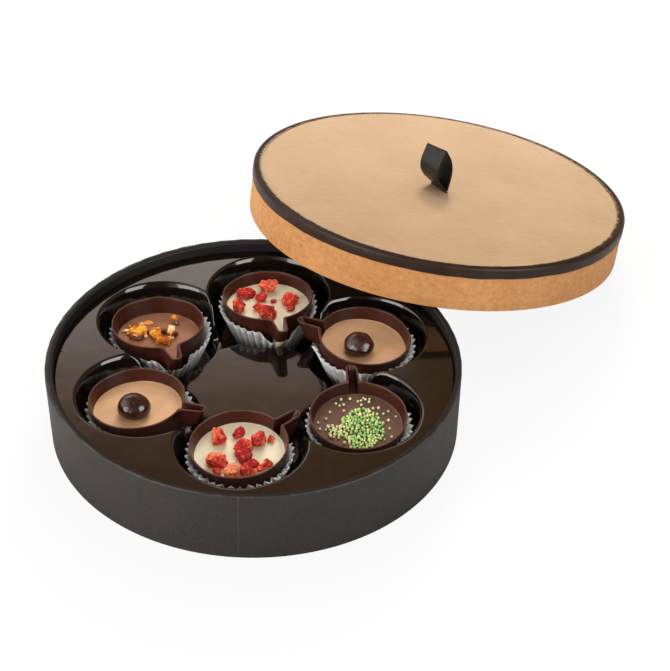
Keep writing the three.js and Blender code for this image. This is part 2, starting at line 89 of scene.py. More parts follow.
CASE_FOOT = 2.7
CASE_TOP = 21.0
CASE_RADIUS = 19.3
CASE_FOOT_RADIUS = 12.6
CASE_PAPER = 0.14
CASE_CLEARANCE = 0.3
FLUTE_COUNT = 36
FLUTE_DEPTH = 0.9
FLUTE_FOOT_DEPTH = 0.45
FLUTES_OPENED = 0.8
PRESSED_OUT = 1.1
PRESSED_DOWN = 4.2

CUP_FOOT = 3.73
CUP_FILLET = 1.2
CUP_FOOT_RADIUS = 12.2
CUP_RADIUS = 18.6
CUP_WALL = 0.75
CUP_FLOOR = 5.3
RIM_LEVEL = 25.5
CUP_LEAN = 3.8
LEAN_PIVOT = 19.0
HANDLE_LENGTH = 9.5
TIP_ROUND = 2.2

# Radius of a cup's side by height, and how far its handle has grown by height, outside and inside
CUP_SIDE = [(4.9, 12.2), (8.0, 13.4), (12.0, 15.2), (16.0, 16.6), (20.0, 17.6), (25.5, 18.6)]
SPOUT_OUTSIDE = [(16.6, 0.0), (17.6, 0.6), (25.5, 1.0)]
SPOUT_INSIDE = [(17.4, 0.0), (18.4, 0.58), (25.5, 1.0)]

# Heights that a cup's skin runs through, up its outside and down its inside
ROWS_UP = (8.0, 12.0, 15.0, 16.4, 16.6, 16.8, 17.0, 17.2, 17.4, 17.6, 18.6, 20.2, 22.0, 23.6, 24.6, 25.05)
ROWS_DOWN = (24.8, 23.8, 22.6, 21.4, 20.4, 19.6, 18.8, 18.4, 18.2, 18.0, 17.8, 17.6, 17.4, 12.0, CUP_FLOOR)

LID_RADIUS = 82.5
LID_INSIDE = 81.0
LID_HEIGHT = 19.2
TOP_UNDERSIDE = 17.6
TOP_ROUND = 0.4
SKIRT_ROUND = 0.35
EDGING_TAPE = 0.3
EDGING_DROP = 4.4
EDGING_LAP = 1.6
EDGING_CORNER = 1.5
LEAST_LAP = 1.5
SIDE_LAP = 1.8
FRONT_LAP = 0.35
FRAYED_TOWARD = -125.0
GLUE = 0.15
LEAN_DISTANCE = 137.15
LEAN_AZIMUTH = 54.42
LID_TILT = 11.4714
SEAT = 0.1
LID_NARROWED = 0.987
LID_LEFT = -2.3

RIBBON_WIDTH = 11.2
RIBBON_CLOTH = 0.35
RIBBON_HEIGHT = 20.0
RIBBON_FRONT = 5.1
RIBBON_BACK = 3.1
RIBBON_GAP = 0.6
RIBBON_LEAN = -15.0
RIBBON_TWIST = 11.0
SLIT_OFFSET = (-4.7, -1.2)
SLIT_TURN = -24.0

# The cups clockwise from the back: direction of the handle, its width at mouth and tip, round at its root,
# shift in the well, shift of the case, level of the filling and how far that runs into the handle
Cup = namedtuple("Cup", "handle mouth tip root shift case level flow filling")
CUPS = {
    1: Cup(-77.5, 5.8, 4.6, 2.0, (-0.35, -0.6), (0.0, 0.0), 20.0, 0.66, "cream"),
    2: Cup(161.0, 5.2, 4.6, 1.6, (-0.35, 0.95), (0.3, 0.0), 20.0, 0.0, "caramel"),
    3: Cup(93.5, 5.0, 4.6, 1.8, (0.9, -0.85), (0.0, 0.2), 20.0, 0.0, "truffle"),
    4: Cup(35.7, 5.2, 4.6, 1.8, (-0.25, 1.65), (0.0, -0.3), 20.0, 0.0, "cream"),
    5: Cup(-18.9, 5.4, 4.6, 1.6, (-1.2, -0.4), (0.9, 0.0), 20.0, 0.0, "caramel"),
    6: Cup(-71.6, 6.6, 4.8, 2.2, (-0.95, 0.0), (1.1, -0.2), 18.5, 0.5, "milk_chocolate"),
}

# Fillings: dark and light tone, tone of the flecks, how strongly they show, and roughness
FILLINGS = {
    "cream": ((0.80, 0.71, 0.49), (0.88, 0.80, 0.58), (0.5, 0.4, 0.22), 0.25, 0.45),
    "caramel": ((0.66, 0.37, 0.19), (0.75, 0.44, 0.24), (0.46, 0.24, 0.11), 0.2, 0.42),
    "truffle": ((0.112, 0.054, 0.036), (0.150, 0.076, 0.052), (0.30, 0.19, 0.13), 0.3, 0.45),
    "milk_chocolate": ((0.28, 0.115, 0.058), (0.34, 0.155, 0.085), (0.46, 0.26, 0.14), 0.3, 0.48),
}

# Pieces on the fillings: place from the cup's middle along X and Y, length, width, height and tone
BACK_BERRIES = [
    (-9.3, 7.7, 6.9, 5.6, 3.6, 0.4), (0.6, 10.3, 6.9, 5.6, 6.0, 0.6), (9.3, 1.7, 6.5, 5.7, 6.2, 0.45),
    (9.6, -4.1, 3.1, 2.6, 2.8, 0.3), (-2.8, 3.3, 5.1, 4.3, 3.4, 0.05), (2.6, 2.2, 2.6, 2.2, 2.0, 0.1),
    (-12.3, -3.3, 6.1, 5.2, 5.0, 0.5), (-3.9, -3.1, 4.1, 3.5, 4.0, 0.7), (-0.7, -8.6, 6.7, 5.7, 5.0, 0.2),
]
FRONT_BERRIES = [
    (-7.4, 7.3, 6.9, 5.9, 5.8, 0.5), (-0.3, 9.5, 4.1, 3.5, 4.5, 0.25), (7.7, 5.7, 6.1, 5.2, 5.8, 0.25),
    (1.2, 1.9, 7.3, 6.0, 4.0, 0.3), (1.4, -4.0, 5.7, 4.9, 4.5, 0.0), (-8.0, -4.7, 7.0, 6.2, 6.0, 0.45),
    (-8.5, -10.2, 2.9, 2.4, 2.9, 0.4), (-2.3, -11.4, 5.5, 4.6, 5.8, 0.95), (1.9, -11.3, 4.3, 3.6, 4.4, 0.2),
    (10.2, -7.3, 3.7, 3.1, 3.8, 0.3), (11.8, 6.1, 2.4, 2.1, 2.7, 0.5), (-5.2, -4.7, 2.0, 1.7, 1.8, 0.1),
    (4.1, -7.3, 4.9, 4.2, 2.9, 0.1), (5.3, -11.3, 2.9, 2.4, 2.5, 0.65), (8.0, -8.4, 3.7, 3.1, 1.8, 0.35),
]
BRITTLE = [
    (-12.5, 3.3, 3.6, 1.4, 1.3, 0.52), (-8.5, 1.0, 5.9, 5.0, 3.4, 0.05), (-10.7, 6.5, 2.4, 2.1, 1.6, 0.75),
    (-7.3, 6.6, 1.7, 1.4, 2.2, 0.52), (-4.9, 8.1, 3.3, 2.8, 1.7, 0.25), (-4.7, 3.5, 2.1, 1.8, 2.0, 0.95),
    (-7.5, -1.9, 2.1, 1.8, 1.6, 0.75), (-5.9, 0.0, 1.9, 1.6, 2.2, 0.05), (-0.8, -0.7, 3.9, 3.3, 3.6, 0.05),
    (2.0, -4.2, 5.3, 4.5, 2.6, 0.05), (-1.0, 3.6, 2.6, 2.2, 1.8, 0.25), (1.9, 2.2, 2.9, 2.5, 2.6, 0.75),
    (5.1, 1.9, 2.9, 2.4, 4.0, 0.52), (6.4, -0.6, 2.2, 1.9, 2.2, 0.75), (5.9, 9.4, 2.9, 2.7, 3.4, 0.02),
]
PEARLS_APART = [
    (-5.9, 13.6), (-2.5, 13.9), (2.6, 14.4), (5.0, 13.9), (0.5, 12.5), (1.7, 12.9), (3.4, 13.6),
    (4.7, 12.2), (1.7, 10.6), (-8.0, 11.4), (-6.6, 10.2), (-5.0, 10.7), (8.2, 8.8), (4.2, 8.2), (6.1, 8.6),
    (6.1, 6.2), (-5.1, 7.4), (-10.5, 6.5), (-12.1, 3.0), (-15.2, 0.9), (-14.6, -2.6), (-12.3, -3.0),
    (11.9, 7.0), (9.9, 5.7), (11.6, 2.0), (11.8, -2.3), (14.6, 4.2), (12.3, -6.8),
]
PEARL_COUNT = 215
PEARL_TRIES = 9000
PEARL_RADII = (0.46, 0.52, 0.58, 0.64, 0.7, 0.82)
PEARL_TONES = (0.0, 0.1, 0.2, 0.3, 0.45, 0.75)
PEARLS_WITHIN = 15.2

# Coated beans by cup: turn, half sizes along the axes and shift from the CAD place
BEANS = {2: (20, (6.1, 5.8, 5.3), (-1.5, -0.6)), 5: (-35, (6.3, 6.0, 5.5), (0.0, 0.0))}

# Soft lights: place and size in metres, power in watts, whether it lights and whether gloss mirrors it
LIGHTS = {
    "high_window": ((0.02, 0.55, 1.15), (0.8, 0.7), 6.6, True, False),
    "low_back_light": ((0.22, 1.02, 0.72), (0.36, 0.3), 7.6, True, False),
    "front_left_panel": ((-0.92, -0.72, 0.34), (0.85, 0.9), 13.5, True, True),
    "front_right_panel": ((0.83, -0.70, 0.53), (0.75, 0.8), 15.0, False, True),
    "front_high_fill": ((0.42, -0.58, 0.92), (0.75, 0.8), 3.2, True, False),
}
LIT_MIDDLE = Vector((0.0, 0.0, 0.02))
WARM_WHITE = (1.0, 0.98, 0.95)
FILL_LIGHT = 0.22
BACKDROP_LIGHT = 2.6
FLOOR_RADIUS = 12.0
FLOOR_DROP = 0.0002
FLOOR_WHITENED = 0.9

# The camera: focal length and place of the box's middle in pixels, and the way it looks
FOCAL_PIXELS = 1797.5
FRAME_WIDTH, FRAME_HEIGHT = 670, 671
SENSOR = 36.0
VIEW_ELEVATION = 40.119
VIEW_DISTANCE = 715.04
VIEW_ROLL = -0.328
ORIGIN_PIXEL = (255.61, 416.16)


class Value:
    """A shader value that takes part in sums as a number does."""

    def __init__(self, finish, socket):
        self.finish = finish
        self.socket = socket

    def worked(self, operation, first, second=0.0):
        return self.finish.node("Math", {0: first, 1: second}, operation=operation)

    def __add__(self, other):
        return self.worked("ADD", self, other)

    def __radd__(self, other):
        return self.worked("ADD", other, self)

    def __sub__(self, other):
        return self.worked("SUBTRACT", self, other)

    def __rsub__(self, other):
        return self.worked("SUBTRACT", other, self)

    def __mul__(self, other):
        return self.worked("MULTIPLY", self, other)

    def __rmul__(self, other):
        return self.worked("MULTIPLY", other, self)

    def __abs__(self):
        return self.worked("ABSOLUTE", self)


class Finish:
    """A material built up from nodes, on the piece's own object coordinates."""

    def __init__(self, name, gloss=0.5, others=()):
        self.material = bpy.data.materials.new(name)
        self.material.use_nodes = True
        self.tree = self.material.node_tree
        self.shader = self.tree.nodes["Principled BSDF"]
        self.place = self.node("TexCoord", output="Object")
        self.coat_with({"Specular IOR Level": gloss, **dict(others)})

    def coat_with(self, sockets):
        """Sets or links sockets of the surface shader."""
        for name, value in sockets.items():
            self.join(self.shader.inputs[name], value)

    def coat(self, colour, roughness, height, strength, depth):
        """Gives the material its colour, roughness and a relief of a depth in millimetres."""
        relief = self.node("Bump", {"Height": height, "Strength": strength, "Distance": depth * MM})
        self.coat_with({"Base Color": colour, "Roughness": roughness, "Normal": relief})
        return self.material

    def join(self, socket, value):
        if isinstance(value, Value):
            self.tree.links.new(value.socket, socket)
        else:
            socket.default_value = value

    def node(self, kind, sockets=(), output=0, **settings):
        node = self.tree.nodes.new(f"ShaderNode{kind}")
        for name, value in settings.items():
            setattr(node, name, value)
        for name, value in dict(sockets).items():
            self.join(node.inputs[name], value)
        return Value(self, node.outputs[output])

    def stretched(self, scale, turn=(0.0, 0.0, 0.0)):
        """Object coordinates drawn out along the axes, for fibres and streaks."""
        return self.node("Mapping", {"Vector": self.place, "Scale": scale, "Rotation": turn})

    def grain(self, scale, detail=3.0, roughness=0.55, place=None):
        sockets = {"Vector": place or self.place, "Scale": scale, "Detail": detail, "Roughness": roughness}
        return self.node("TexNoise", sockets)

    def patches(self, scale, detail=3.0, roughness=0.55, limits=(0.3, 0.7)):
        """Grain drawn apart into dark and light."""
        return self.between(self.grain(scale, detail, roughness), *limits)

    def axis(self, name):
        return self.node("SeparateXYZ", {"Vector": self.place}, name)

    def layer(self, name):
        """A value that the piece carries from point to point."""
        return self.node("Attribute", output="Fac", attribute_name=name)

    def between(self, value, low, high, at_low=0.0, at_high=1.0):
        """Value drawn from one range onto another and held at its ends."""
        return self.node("MapRange", {"Value": value, 1: low, 2: high, 3: at_low, 4: at_high}, clamp=True)

    def ramp(self, value, stops):
        """Colour read off a row of stops."""
        colour = self.node("ValToRGB", {"Fac": value})
        elements = colour.socket.node.color_ramp.elements
        while len(elements) < len(stops):
            elements.new(1.0)
        for element, (position, tone) in zip(elements, stops):
            element.position = position
            element.color = (*tone, 1.0)
        return colour

    def mix(self, share, *tones):
        first, second = (tone if isinstance(tone, Value) else (*tone, 1.0) for tone in tones)
        return self.node("Mix", {0: share, 6: first, 7: second}, 2, data_type="RGBA")


def charcoal_paper():
    """Clouded paper with fine fibres, with painted shade over the inner half of the rim and down its inside,
    worn along the rim, with a faint seam in front.
    """
    finish = Finish("charcoal_paper", 0.33)
    cloud = finish.patches(60.0, 4.0)
    fibre = finish.patches(900.0, 4.0, 0.7, (0.35, 0.65))
    body = finish.mix(cloud, (0.0120, 0.0092, 0.0077), (0.0182, 0.0142, 0.0124))
    body = finish.mix(fibre * 0.4, body, (0.044, 0.037, 0.033))
    across, along = finish.axis("X"), finish.axis("Y")
    edge = ((BASE_RADIUS - 1.0) * MM) ** 2, ((BASE_RADIUS - 0.3) * MM) ** 2
    outside = finish.between(across * across + along * along, *edge)
    # Painted shade: the inner half of the rim and the inside of the wrap are darkened.
    body = finish.mix(outside, (0.006, 0.0052, 0.0048), body)
    worn = finish.patches(140.0, limits=(0.45, 0.65))
    high = finish.between(finish.axis("Z"), (BASE_HEIGHT - 0.55) * MM, (BASE_HEIGHT - 0.3) * MM)
    body = finish.mix(high * outside * worn * 0.4, body, (0.10, 0.09, 0.082))
    front = finish.between(along, -70.0 * MM, -60.0 * MM, 1.0, 0.0)
    lap = finish.between(across, (SEAM - 0.1) * MM, (SEAM + 0.1) * MM) * front
    seam = finish.between(abs(across - SEAM * MM), 0.12 * MM, 0.4 * MM, 1.0, 0.0) * front * outside
    body = finish.mix(seam * 0.18, body, (0.075, 0.064, 0.058))
    roughness = finish.between(cloud, 0.0, 1.0, 0.5, 0.62)
    return finish.coat(body, roughness, finish.grain(1500.0, 3.0, 0.6) + lap * 2.0, 0.35, 0.05)


def grey_board():
    finish = Finish("grey_board")
    fibre = finish.patches(700.0, 5.0, 0.7)
    body = finish.mix(fibre, (0.19, 0.17, 0.15), (0.30, 0.28, 0.25))
    return finish.coat(body, 0.9, fibre, 0.2, 0.05)


def tray_plastic():
    finish = Finish("tray_plastic", others={"IOR": 1.52})
    body = finish.mix(finish.patches(40.0, 2.0), (0.0070, 0.0042, 0.0026), (0.0100, 0.0062, 0.0040))
    roughness = finish.between(finish.grain(220.0), 0.3, 0.7, 0.05, 0.1)
    drawn = finish.grain(160.0, 3.0, 0.5, finish.stretched((1.0, 0.35, 1.0), (0.0, 0.0, 0.6)))
    return finish.coat(body, roughness, finish.grain(55.0, 2.0, 0.4) + drawn * 0.22, 0.2, 0.3)


def case_paper():
    """Grey-white paper, with painted shade in its folds and toward its foot."""
    finish = Finish("case_paper", 0.35)
    fibre = finish.patches(900.0, 4.0, 0.65)
    body = finish.mix(fibre, (0.80, 0.80, 0.77), (0.93, 0.93, 0.90))
    # Painted shade in the pleat valleys, where the fold layer is low.
    body = finish.mix(finish.between(finish.layer("fold"), 0.0, 0.8), (0.56, 0.56, 0.54), body)
    # Painted shade deep in the well: the paper darkens toward its foot, below about 14.5 mm.
    body = finish.mix(finish.between(finish.axis("Z"), 6.5 * MM, 14.5 * MM), (0.10, 0.10, 0.095), body)
    return finish.coat(body, 0.6, fibre, 0.15, 0.05)


def dark_chocolate():
    finish = Finish("dark_chocolate", 0.24)
    scuffs_and_sheen = finish.patches(420.0, 4.0, 0.7, (0.45, 0.75))
    body = finish.mix(finish.patches(120.0, 4.0), (0.044, 0.0092, 0.0050), (0.064, 0.0145, 0.0085))
    # Painted highlight: the rim and the handle's edge, marked by the edge layer, are lightened, broken up by
    # the same pattern that varies roughness.
    body = finish.mix(finish.layer("edge") * (scuffs_and_sheen * 0.4 + 0.38), body, (0.17, 0.075, 0.055))
    return finish.coat(body, finish.between(scuffs_and_sheen, 0.0, 1.0, 0.34, 0.5), finish.grain(350.0), 0.2, 0.12)


def filling_finish(name, dark, light, fleck, flecks, roughness):
    """Set cream, caramel or truffle: two tones with fine flecks and a softly uneven skin."""
    finish = Finish(name, 0.4)
    speck = finish.patches(900.0, 2.0, 0.5, (0.62, 0.7)) * flecks
    body = finish.mix(speck, finish.mix(finish.patches(130.0, 4.0), dark, light), fleck)
    return finish.coat(body, roughness, finish.grain(260.0), 0.25, 0.15)


def strawberry():
    finish = Finish("strawberry", 0.3)
    pulp = finish.patches(520.0, 4.0, 0.65)
    body = finish.ramp(finish.layer("tone") + pulp * 0.4 - 0.2, [
        (0.0, (0.27, 0.006, 0.009)), (0.3, (0.58, 0.022, 0.016)),
        (0.6, (0.84, 0.10, 0.034)), (1.0, (0.92, 0.36, 0.16)),
    ])
    cells = finish.node("TexVoronoi", {"Vector": finish.place, "Scale": 1100.0})
    return finish.coat(body, finish.between(pulp, 0.0, 1.0, 0.45, 0.7), cells, 0.8, 0.35)


def brittle():
    """Amber sugar at low tones, pale nut at middle tones and dark skin at high ones, all with a faint painted
    glow.
    """
    finish = Finish("brittle", others={"IOR": 1.5, "Emission Strength": 0.08})
    streak = finish.patches(500.0, limits=(0.35, 0.65))
    body = finish.ramp(finish.layer("tone") + streak * 0.06, [
        (0.0, (0.13, 0.018, 0.004)), (0.14, (0.42, 0.085, 0.005)), (0.28, (0.72, 0.22, 0.008)),
        (0.42, (1.0, 0.50, 0.06)), (0.5, (0.93, 0.66, 0.34)), (0.64, (0.90, 0.62, 0.32)),
        (0.72, (0.09, 0.014, 0.007)), (0.86, (0.18, 0.045, 0.025)), (1.0, (0.34, 0.17, 0.12)),
    ])
    # Painted glow: the shards emit weakly in their own colour.
    finish.coat_with({"Emission Color": body})
    return finish.coat(body, finish.between(streak, 0.0, 1.0, 0.1, 0.3), streak, 0.3, 0.15)


def coated_bean():
    finish = Finish("coated_bean")
    cloud = finish.patches(220.0)
    body = finish.mix(cloud, (0.026, 0.007, 0.005), (0.050, 0.016, 0.012))
    return finish.coat(body, finish.between(cloud, 0.0, 1.0, 0.16, 0.28), finish.grain(300.0, 2.0), 0.2, 0.3)


def sugar_pearl():
    finish = Finish("sugar_pearl", others={"Roughness": 0.22, "Coat Weight": 0.4})
    body = finish.ramp(finish.layer("tone"), [
        (0.0, (0.28, 0.60, 0.15)), (0.4, (0.55, 0.86, 0.28)),
        (0.7, (0.93, 0.92, 0.36)), (1.0, (1.0, 0.92, 0.58)),
    ])
    speck = finish.patches(1500.0, 2.0, limits=(0.35, 0.65))
    finish.coat_with({"Base Color": finish.mix(speck * 0.2, body, (0.30, 0.36, 0.08))})
    return finish.material


def kraft_board(name, dark, light, fleck, fibres, streaks, painted_back_light):
    """Kraft board, softly clouded, with short fine fibres, and painted light making it a little paler toward
    the back.
    """
    finish = Finish(name, 0.25)
    fibre = finish.between(finish.grain(260.0, 5.0, 0.7, finish.stretched(fibres)), 0.36, 0.64)
    # Painted light: the board grows paler toward the back, by the given share.
    back = finish.between(finish.axis("Y"), 55.0 * MM, 190.0 * MM)
    share = fibre * streaks + finish.patches(30.0) * (1.0 - streaks - painted_back_light) + back * painted_back_light
    speck = finish.patches(560.0, 3.0, 0.6, (0.6, 0.7))
    body = finish.mix(speck * 0.35, finish.mix(share, dark, light), fleck)
    return finish.coat(body, 0.75, fibre, 0.12, 0.05)


def black_tape():
    """Worn black paper tape, frayed to pale fibres along the edge that laps onto the top."""
    finish = Finish("black_tape", 0.16)
    cloud = finish.patches(90.0, 4.0)
    body = finish.mix(cloud, (0.025, 0.0125, 0.0070), (0.038, 0.020, 0.0120))
    body = finish.mix(finish.patches(320.0, 5.0, 0.7, (0.6, 0.75)) * 0.3, body, (0.09, 0.07, 0.055))
    fray = finish.between(finish.layer("edge") + finish.grain(420.0, 5.0, 0.75) * 1.6, 1.15, 1.6)
    body = finish.mix(fray * 0.8, body, (0.56, 0.43, 0.29))
    return finish.coat(body, finish.between(cloud, 0.0, 1.0, 0.34, 0.5), finish.grain(300.0, 4.0), 0.2, 0.12)


def black_ribbon():
    finish = Finish("black_ribbon", 0.25)
    thread = finish.patches(1600.0, limits=(0.35, 0.65))
    body = finish.mix(thread, (0.007, 0.0065, 0.0068), (0.016, 0.0145, 0.015))
    along = {"Vector": finish.node("TexCoord", output="UV"), "Scale": 34.0, "Distortion": 0.6}
    return finish.coat(body, 0.42, finish.node("TexWave", along, bands_direction="X"), 0.18, 0.05)


def in_scene(name, data):
    thing = bpy.data.objects.new(name, data)
    bpy.context.scene.collection.objects.link(thing)
    return thing


def meshed(name, bm, finish):
    mesh = bpy.data.meshes.new(name)
    bm.to_mesh(mesh)
    bm.free()
    mesh.materials.append(finish)
    return in_scene(name, mesh)


def finished(name, bm, finish, body, nodes, sharp=None, place=None):
    """Object from a bmesh in millimetres, set in place, riding its body and standing for its CAD nodes."""
    if place is not None:
        bmesh.ops.transform(bm, matrix=place, verts=bm.verts)
    bmesh.ops.scale(bm, vec=(MM, MM, MM), verts=bm.verts)
    piece = meshed(name, bm, finish)
    piece.data.shade_smooth()
    if sharp is not None:
        piece.data.set_sharp_from_angle(angle=radians(sharp))
    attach(piece, body)
    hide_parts(*nodes)
    return piece


def thickened(piece, thickness, offset=-1.0):
    wall = piece.modifiers.new("wall", "SOLIDIFY")
    wall.thickness = thickness * MM
    wall.offset = offset


def facing_out(bm):
    bmesh.ops.recalc_face_normals(bm, faces=bm.faces)


def points_of(made):
    return [item for item in made if isinstance(item, bmesh.types.BMVert)]


def skin_through(bm, rings, ends):
    """Skin through rings of equal count, extruded ring by ring and closed at its first or both ends."""
    place = bm.verts.layers.int.new("place")
    verts = bmesh.ops.create_circle(bm, segments=len(rings[0]), radius=1.0)["verts"]
    for index, vert in enumerate(verts):
        vert[place] = index
        vert.co = rings[0][index]
    first = edges = list(bm.edges)
    for ring in rings[1:]:
        made = bmesh.ops.extrude_edge_only(bm, edges=edges)["geom"]
        fresh = set(points_of(made))
        for vert in fresh:
            vert.co = ring[vert[place]]
        edges = [item for item in made if isinstance(item, bmesh.types.BMEdge) and set(item.verts) <= fresh]
    for loop in (first, edges)[:ends]:
        bmesh.ops.edgeloop_fill(bm, edges=loop)


def turned(bm, profile, steps, closed=True):
    """Profile of radius and height spun round the Z axis."""
    verts = [bm.verts.new((radius, 0.0, height)) for radius, height in profile]
    pairs = list(zip(verts, verts[1:]))
    if closed:
        pairs.append((verts[-1], verts[0]))
    edges = [bm.edges.new(pair) for pair in pairs]
    bmesh.ops.spin(
        bm, geom=verts + edges, axis=(0.0, 0.0, 1.0), cent=(0.0, 0.0, 0.0),
        angle=tau, steps=steps, use_merge=True,
    )
    bmesh.ops.remove_doubles(bm, verts=bm.verts, dist=0.0005)
    facing_out(bm)


def facing_up(bm):
    """Turns the faces of an open sheet to its upper side."""
    facing_out(bm)
    if sum(face.normal.z * face.calc_area() for face in bm.faces) < 0:
        bmesh.ops.reverse_faces(bm, faces=bm.faces)


def spun(angle, axis="Z"):
    return Matrix.Rotation(radians(angle), 4, axis)


def around(radius, turn):
    return radius * cos(turn), radius * sin(turn)


def rounded(centre, radius, start, end, steps=5):
    """Points along a round corner of a profile, both ends included."""
    turns = [radians(start + (end - start) * step / steps) for step in range(steps + 1)]
    return [(centre[0] + radius * cos(turn), centre[1] + radius * sin(turn)) for turn in turns]


def level_at(profile, at):
    """Height of a profile, a list of points by rising distance, read off at a distance."""
    index = bisect.bisect_right(profile, (at, inf))
    if index == 0:
        return profile[0][1]
    if index == len(profile):
        return profile[-1][1]
    (near, low), (far, high) = profile[index - 1], profile[index]
    return low + (high - low) * (at - near) / (far - near)


def smoothly(value, low, high):
    """Share of the way from low to high, eased at both ends."""
    share = min(1.0, max(0.0, (value - low) / (high - low)))
    return share * share * (3.0 - 2.0 * share)


def cup_centre(number):
    turn = radians(FIRST_WELL - (number - 1) * 360.0 / WELL_COUNT)
    return Vector((*around(WELL_RING, turn), 0.0)) + Vector((*CUPS[number].shift, 0.0))


def cup_place(number):
    """Axes of a cup that leans in its case, handle side up; X points along the box's own X."""
    turn = spun(CUPS[number].handle)
    pivot = Matrix.Translation((0.0, 0.0, LEAN_PIVOT))
    lean = pivot @ spun(-CUP_LEAN, "Y") @ pivot.inverted()
    return Matrix.Translation(cup_centre(number)) @ turn @ lean @ turn.inverted()


def handle_place(number):
    """The same axes with X along the cup's handle."""
    return cup_place(number) @ spun(CUPS[number].handle)


def base_wrap(finish):
    """Paper round the base, turned in over a soft rim in short tabs, a little full at the back left."""
    bm = bmesh.new()
    low, high = BASE_HEIGHT - WRAP_TURN_IN, BASE_HEIGHT - RIM_ROUND
    outer, inner = (BASE_RADIUS - RIM_ROUND, high), (WRAP_INSIDE + RIM_ROUND, high)
    profile = [(BASE_RADIUS, WRAP_LIFT)] + rounded(outer, RIM_ROUND, 0, 90)
    profile += rounded(inner, RIM_ROUND, 90, 180)
    profile += [(WRAP_INSIDE, low), (WRAP_INSIDE + WRAP_PAPER, low)]
    profile += rounded(inner, RIM_ROUND - WRAP_PAPER, 180, 90) + rounded(outer, RIM_ROUND - WRAP_PAPER, 90, 0)
    profile += [(BASE_RADIUS - WRAP_PAPER, WRAP_LIFT)]
    turned(bm, profile, 240)
    for vert in bm.verts:
        turn = atan2(vert.co.y, vert.co.x)
        tab = (degrees(turn) + 361.0) / TAB_STEP % 1.0
        raised = smoothly(vert.co.z, BASE_HEIGHT - 3.0, BASE_HEIGHT)
        vert.co.z += TAB_LIFT * (tab - 0.6) * raised
        bulge = smoothly(cos(turn - radians(BULGE_TOWARD)), -0.1, 0.6)
        bulge *= smoothly(vert.co.z, 2.0, 20.0) * smoothly(vert.co.xy.length, 78.2, 79.4)
        vert.co.xy *= 1.0 - TAB_DRAWN_IN * (1.0 - tab) * raised + BULGE_SHARE * bulge
    wrap = finished("base_paper", bm, finish, "box", ["base_wrap"], 50)
    wrap.visible_glossy = False


